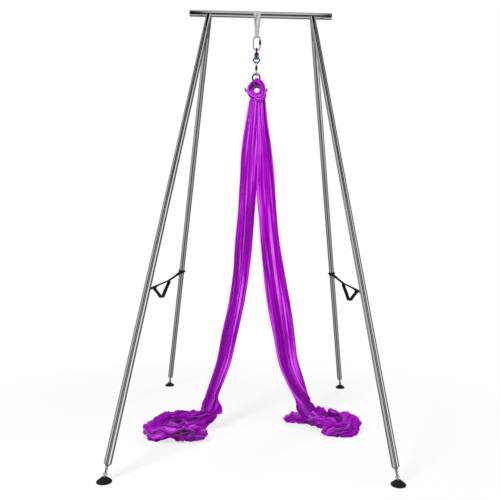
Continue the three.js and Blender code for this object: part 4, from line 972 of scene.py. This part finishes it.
def tail_stations(label):
    side = SIDES[label]
    stations = []
    for drop, out, forward, wide in TAIL_SHARES[label]:
        fuller = 1 + 0.13 * min(1, 0.6 + 2 * drop, (1 - drop) * 6)
        stations.append((TAIL_REACH[label] * out, -TAIL_FORWARD * forward,
                         TAIL_TOP + (TAIL_BOTTOM - TAIL_TOP) * drop, TAIL_WIDTH * wide * fuller,
                         TAIL_DEPTH * math.sqrt(wide)))
    x, y, z, wide, thick = stations[0]
    into = (x * 0.8 - side * 4 * MM, y, z + TAIL_INTO_HITCH, wide * 0.85, thick * 0.7)
    return [into] + stations


def heap_stations(label, run):
    x, y, length, depth = HEAP_PLACES[label]
    return [(x + a * length, y + b * depth, HEAP_HEIGHT * middle, HEAP_BUNDLE_WIDTH * wide,
             HEAP_HEIGHT * thick) for a, b, middle, thick, wide in run]


def level_across(path):
    """Level directions across a path that runs over the floor; across X where it hangs."""
    along = np.gradient(path[:, :3], axis=0)
    flat = np.column_stack([-along[:, 1], along[:, 0], np.zeros(len(along))])
    level = flat / np.maximum(np.linalg.norm(flat, axis=1), 1e-6)[:, None]
    before = X_WAY
    for i, way in enumerate(level):
        level[i] = before = way if way.dot(before) >= 0 else -way
    hung = np.clip((path[:, 2] - 0.16) / 0.10, 0, 1)[:, None]
    return hung * X_WAY + (1 - hung) * level


def silk_length(label, seed):
    """One half of the silk: down from the hitch, on to the floor, and folded about there."""
    side = SIDES[label]
    runs = [heap_stations(label, run) for run in HEAP_RUNS[label]]
    path, run = through(tail_stations(label) + runs[0], 430)
    z = path[:, 2]
    landed = int(np.argmax(z < TAIL_BOTTOM))
    lain = np.clip((0.24 - z) / 0.13, 0, 1)
    lain[landed:] = np.maximum.accumulate(lain[landed:])
    for k, (axis, rate) in enumerate(((2, 9), (0, 11), (1, 11))):
        path[:, axis] += LAID_DRIFT * lain * wander(run * rate, 0.5 + k, seed + 60 + k)
    path = tucked(path, run)
    twist = LAID_TWIST * lain * wander(run * 3.1, 3.5, seed + 63)
    cloth = gathered(path, run, level_across(path), LENGTH_PLEATS, seed, twist, CRUMPLE * lain,
                     beside=(side, TAIL_MEET_X - side * 2 * MM), floor=FLOOR_GAP)
    hung = cloth_piece("silk_cloth_" + label, cloth, 0, landed + 1)
    finish_piece(hung, "silk", "silk_tail_" + label)
    parts = [cloth_piece("silk_laid_" + label, cloth, landed)]
    path, run = through(runs[1], 120)
    path = tucked(path, run, start=True)
    twist = LAID_TWIST * wander(run * 3.1, 4.5, seed + 64)
    more = gathered(path, run, level_across(path), LENGTH_PLEATS, seed + 200, twist, CRUMPLE,
                    floor=FLOOR_GAP)
    parts.append(cloth_piece("silk_end_" + label, more))
    laid = joined("silk_pile_" + label, parts)
    finish_piece(laid, "silk", "silk_heap_" + label)
    return hung, laid


# The bands of the hitch as seen from the front: place, width and depth in millimetres
HITCH_BANDS = {
    "upper_right": [(-34, 8, 2457, 24, 20), (-20, 20, 2452, 30, 22), (4, 25, 2436, 32, 24),
                    (23, 25, 2410, 30, 26), (30, 17, 2388, 25, 26), (30, 4, 2366, 24, 26)],
    "upper_left": [(-32, 8, 2446, 16, 16), (-54, 16, 2436, 17, 17), (-70, 18, 2416, 18, 18),
                   (-80, 12, 2396, 19, 20), (-81, 2, 2380, 18, 20)],
    "lower_left": [(-79, 2, 2388, 20, 22), (-79, 14, 2374, 26, 24), (-67, 25, 2358, 33, 26),
                   (-46, 30, 2343, 36, 28), (-20, 28, 2333, 32, 28), (2, 16, 2328, 28, 26)],
    "lower_right": [(29, 4, 2378, 20, 24), (33, 18, 2358, 28, 28), (28, 30, 2336, 38, 32),
                    (9, 35, 2319, 42, 32), (-14, 28, 2318, 36, 30), (-32, 12, 2332, 28, 26)],
}
HITCH_HOLE_RADIUS = 20.5 * MM


def silk_hitch(seed):
    """The silk's middle, pulled through the big ring of the eight and over its neck: a ring of
    gathered cloth round the hole, and bands that cross over it, in front and behind."""
    cx, _, cz = RING_CENTRE
    around = []
    for k in range(25):
        angle = math.radians(60 - k * 360 / 24)
        low = 0.5 - 0.5 * math.sin(angle)
        wide = (17 + 15 * low) * MM
        reach = HITCH_HOLE_RADIUS + 0.5 * wide
        around.append((cx + reach * math.cos(angle), 0, cz + reach * math.sin(angle),
                       wide, 50 * MM))
    path, run = through(around, 150)
    outward = path[:, :3] - np.array([cx, 0, cz])
    parts = [cloth_piece("hitch_ring", gathered(path, run, outward, 14, seed, twist=7.0 * run))]
    for i, (band, stations) in enumerate(HITCH_BANDS.items()):
        for side in (-1, 1):
            deeper = 1 if side < 0 else 0.92
            path, run = through([(x * MM, side * deeper * y * MM, z * MM, wide * MM, thick * MM)
                                 for x, y, z, wide, thick in stations], 70)
            along = np.gradient(path[:, :3], axis=0)
            across = np.cross(along, np.array([0, 1.0, 0]))
            path = tucked(path, run, start=True, reach=8 * MM, sink=0)
            cloth = gathered(path, run, across, 10, seed + 17 * i + side)
            parts.append(cloth_piece(f"hitch_{band}_{side}", cloth))
    made = joined("silk_hitch_cloth", parts)
    return finish_piece(made, "silk", "silk_hitch")


def studio_camera():
    """The photo's camera: low, near the middle, rolled a degree, with a shifted lens."""
    yaw, pitch, roll = CAMERA_TURN
    forward = Vector((-math.sin(yaw) * math.cos(pitch), math.cos(yaw) * math.cos(pitch),
                      math.sin(pitch)))
    right = Vector((math.cos(yaw), math.sin(yaw), 0))
    up = right.cross(forward)
    turned = right * math.cos(roll) + up * math.sin(roll)
    upright = up * math.cos(roll) - right * math.sin(roll)
    lens = bpy.data.cameras.new("photo_camera")
    lens.sensor_width = 36
    lens.lens = CAMERA_LENS
    lens.shift_x, lens.shift_y = CAMERA_SHIFT
    lens.clip_end = 60
    camera = in_scene("photo_camera", lens)
    facing = Matrix((turned, upright, -forward)).transposed()
    camera.matrix_world = Matrix.Translation(CAMERA_PLACE) @ facing.to_4x4()
    bpy.context.scene.camera = camera


def soft_lamp(name, place, aim, size, watts):
    light = bpy.data.lights.new(name, "AREA")
    light.shape = "RECTANGLE"
    light.size, light.size_y = size
    light.energy = watts
    lamp = in_scene(name, light)
    lamp.location = place
    lamp.rotation_euler = (Vector(aim) - Vector(place)).to_track_quat("-Z", "Y").to_euler()
    lamp.visible_camera = False
    lamp.visible_glossy = False


def past(tree, value, edge, soft):
    """0 below the edge and 1 above it, with a soft step between."""
    return calc(tree, "ShaderNodeMapRange",
                {"Value": value, "From Min": edge - soft, "From Max": edge + soft},
                interpolation_type="SMOOTHSTEP")


def less(tree, value):
    return maths(tree, "SUBTRACT", 1.0, value)


def within(tree, value, low, high):
    """1 between two edges and 0 past them. Each edge is given with the softness of its step."""
    return product(tree, past(tree, value, *low), less(tree, past(tree, value, *high)))


def grey_mix(tree, factor, first, second):
    return calc(tree, "ShaderNodeMix", {"Factor": factor, 2: first, 3: second})


def studio_world():
    """White to the camera, and dim to all but metal. To metal it is a studio: a grey front wall
    with dark and bright bands, tall soft lights at both sides, a pale ceiling and a dim back."""
    world = bpy.data.worlds.new("studio")
    bpy.context.scene.world = world
    world.use_nodes = True
    tree = world.node_tree
    tree.nodes.clear()
    way = add(tree, "ShaderNodeSeparateXYZ",
              {0: add(tree, "ShaderNodeTexCoord").outputs["Generated"]}).outputs
    turn = maths(tree, "ARCTAN2", way[0], product(tree, way[1], -1.0))
    round_about = maths(tree, "ABSOLUTE", product(tree, turn, 1 / math.pi))
    rise = product(tree, maths(tree, "ARCSINE", way[2]), 2 / math.pi)
    right = past(tree, way[0], 0.0, 0.3)
    low = less(tree, past(tree, rise, -0.13, 0.05))

    lights = grey_mix(tree, low, grey_mix(tree, right, 0.85, 1.3), 0.62)
    ends = grey_mix(tree, low, grey_mix(tree, right, 0.48, 0.18), 0.2)
    aside = maths(tree, "ABSOLUTE", way[0])
    middle = less(tree, past(tree, aside, 0.10, 0.01))
    front = less(tree, past(tree, way[1], 0.0, 0.01))
    under = product(tree, within(tree, rise, (-0.66, 0.04), (-0.24, 0.03)), front,
                    less(tree, past(tree, aside, 0.34, 0.02)))
    above = product(tree, within(tree, rise, (0.17, 0.02), (0.48, 0.03)), front, middle)
    strips = product(tree, within(tree, rise, (0.15, 0.02), (0.72, 0.03)), front,
                     less(tree, middle), less(tree, past(tree, aside, 0.56, 0.02)))
    gap = product(tree, less(tree, past(tree, round_about, 0.10, 0.014)),
                  within(tree, rise, (-0.25, 0.02), (0.16, 0.02)))
    grey = WALL
    for mask, tone in ((past(tree, round_about, 0.20, 0.025), lights),
                       (past(tree, rise, 0.70, 0.04), 0.9),
                       (less(tree, past(tree, rise, -0.70, 0.05)), 1.2),
                       (past(tree, round_about, 0.45, 0.03), ends),
                       (under, grey_mix(tree, middle, DARK, 0.26)),
                       (above, 1.0), (strips, DARK), (gap, DARK)):
        grey = grey_mix(tree, mask, grey, tone)

    metal, plain, white = (
        calc(tree, "ShaderNodeBackground", {"Color": (1, 1, 1, 1), "Strength": strength})
        for strength in (grey, PLAIN_LIGHT, 1.0))
    path = add(tree, "ShaderNodeLightPath").outputs
    shiny = calc(tree, "ShaderNodeMixShader", {0: path["Is Glossy Ray"], 1: plain, 2: metal})
    clear = maths(tree, "MAXIMUM", path["Is Camera Ray"], path["Is Transmission Ray"])
    seen = calc(tree, "ShaderNodeMixShader", {0: clear, 1: shiny, 2: white})
    add(tree, "ShaderNodeOutputWorld", {"Surface": seen})


def studio_floor():
    """A pale floor that fades to the white backdrop and keeps the shadows. Metal doesn't see it,
    so that the tubes show the studio's plain bands."""
    made, tree, shader = shader_of("pale_floor", Roughness=0.9, Specular_IOR_Level=0.05,
                                   Base_Color=(0.86, 0.86, 0.86, 1))
    place = add(tree, "ShaderNodeTexCoord").outputs["Object"]
    distance = add(tree, "ShaderNodeVectorMath", {0: place}, operation="LENGTH").outputs["Value"]
    fade = calc(tree, "ShaderNodeMapRange", {
        "Value": distance, "From Min": 1.0, "From Max": 2.6, "To Min": 0.70, "To Max": 1.0})
    path = add(tree, "ShaderNodeLightPath").outputs
    share = product(tree, fade, path["Is Camera Ray"])
    white = calc(tree, "ShaderNodeEmission", {"Color": (1, 1, 1, 1), "Strength": 1.0})
    mixed = calc(tree, "ShaderNodeMixShader", {0: share, 1: shader.outputs[0], 2: white})
    feed(tree, tree.nodes["Material Output"], {"Surface": mixed})
    mesh = bpy.data.meshes.new("floor")
    mesh.from_pydata([(-7, -2.9, 0), (7, -2.9, 0), (7, 9, 0), (-7, 9, 0)], [], [(0, 1, 2, 3)])
    mesh.materials.append(made)
    floor = in_scene("floor", mesh)
    floor.visible_glossy = False


studio_camera()
studio_world()
studio_floor()
# Each lamp's place, what it points at, its size and its watts
soft_lamp("key_light", (-2.2, -3.6, 3.8), (0, 0, 1.2), (1.6, 1.6), 235)
soft_lamp("fill_light", (3.4, -1.6, 2.2), (0, 0, 1.2), (1.4, 2.4), 36)
soft_lamp("back_light", (1.6, 3.6, 2.8), (0, 0, 1.3), (1.8, 1.8), 90)
soft_lamp("top_light", (0, -0.9, 4.0), (0, -0.1, 2.6), (1.8, 1.2), 14)
bpy.context.scene.view_settings.view_transform = "Standard"

dress_solids()
for label, side in SIDES.items():
    side_strap(side, label)
    handle_loop(side, label)
sling()
foot_threads()
sleeve_grips()

sheets = []
for label, seed in (("left", 11), ("right", 47)):
    hung, laid = silk_length(label, seed)
    sheets += [(hung, TAIL_FLAT_LENGTH, "hung"), (laid, PILE_FLAT_LENGTH, "laid")]
sheets.append((silk_hitch(301), HITCH_FLAT_LENGTH, "gathered"))
for o, length, held in sheets:
    o.visible_glossy = False
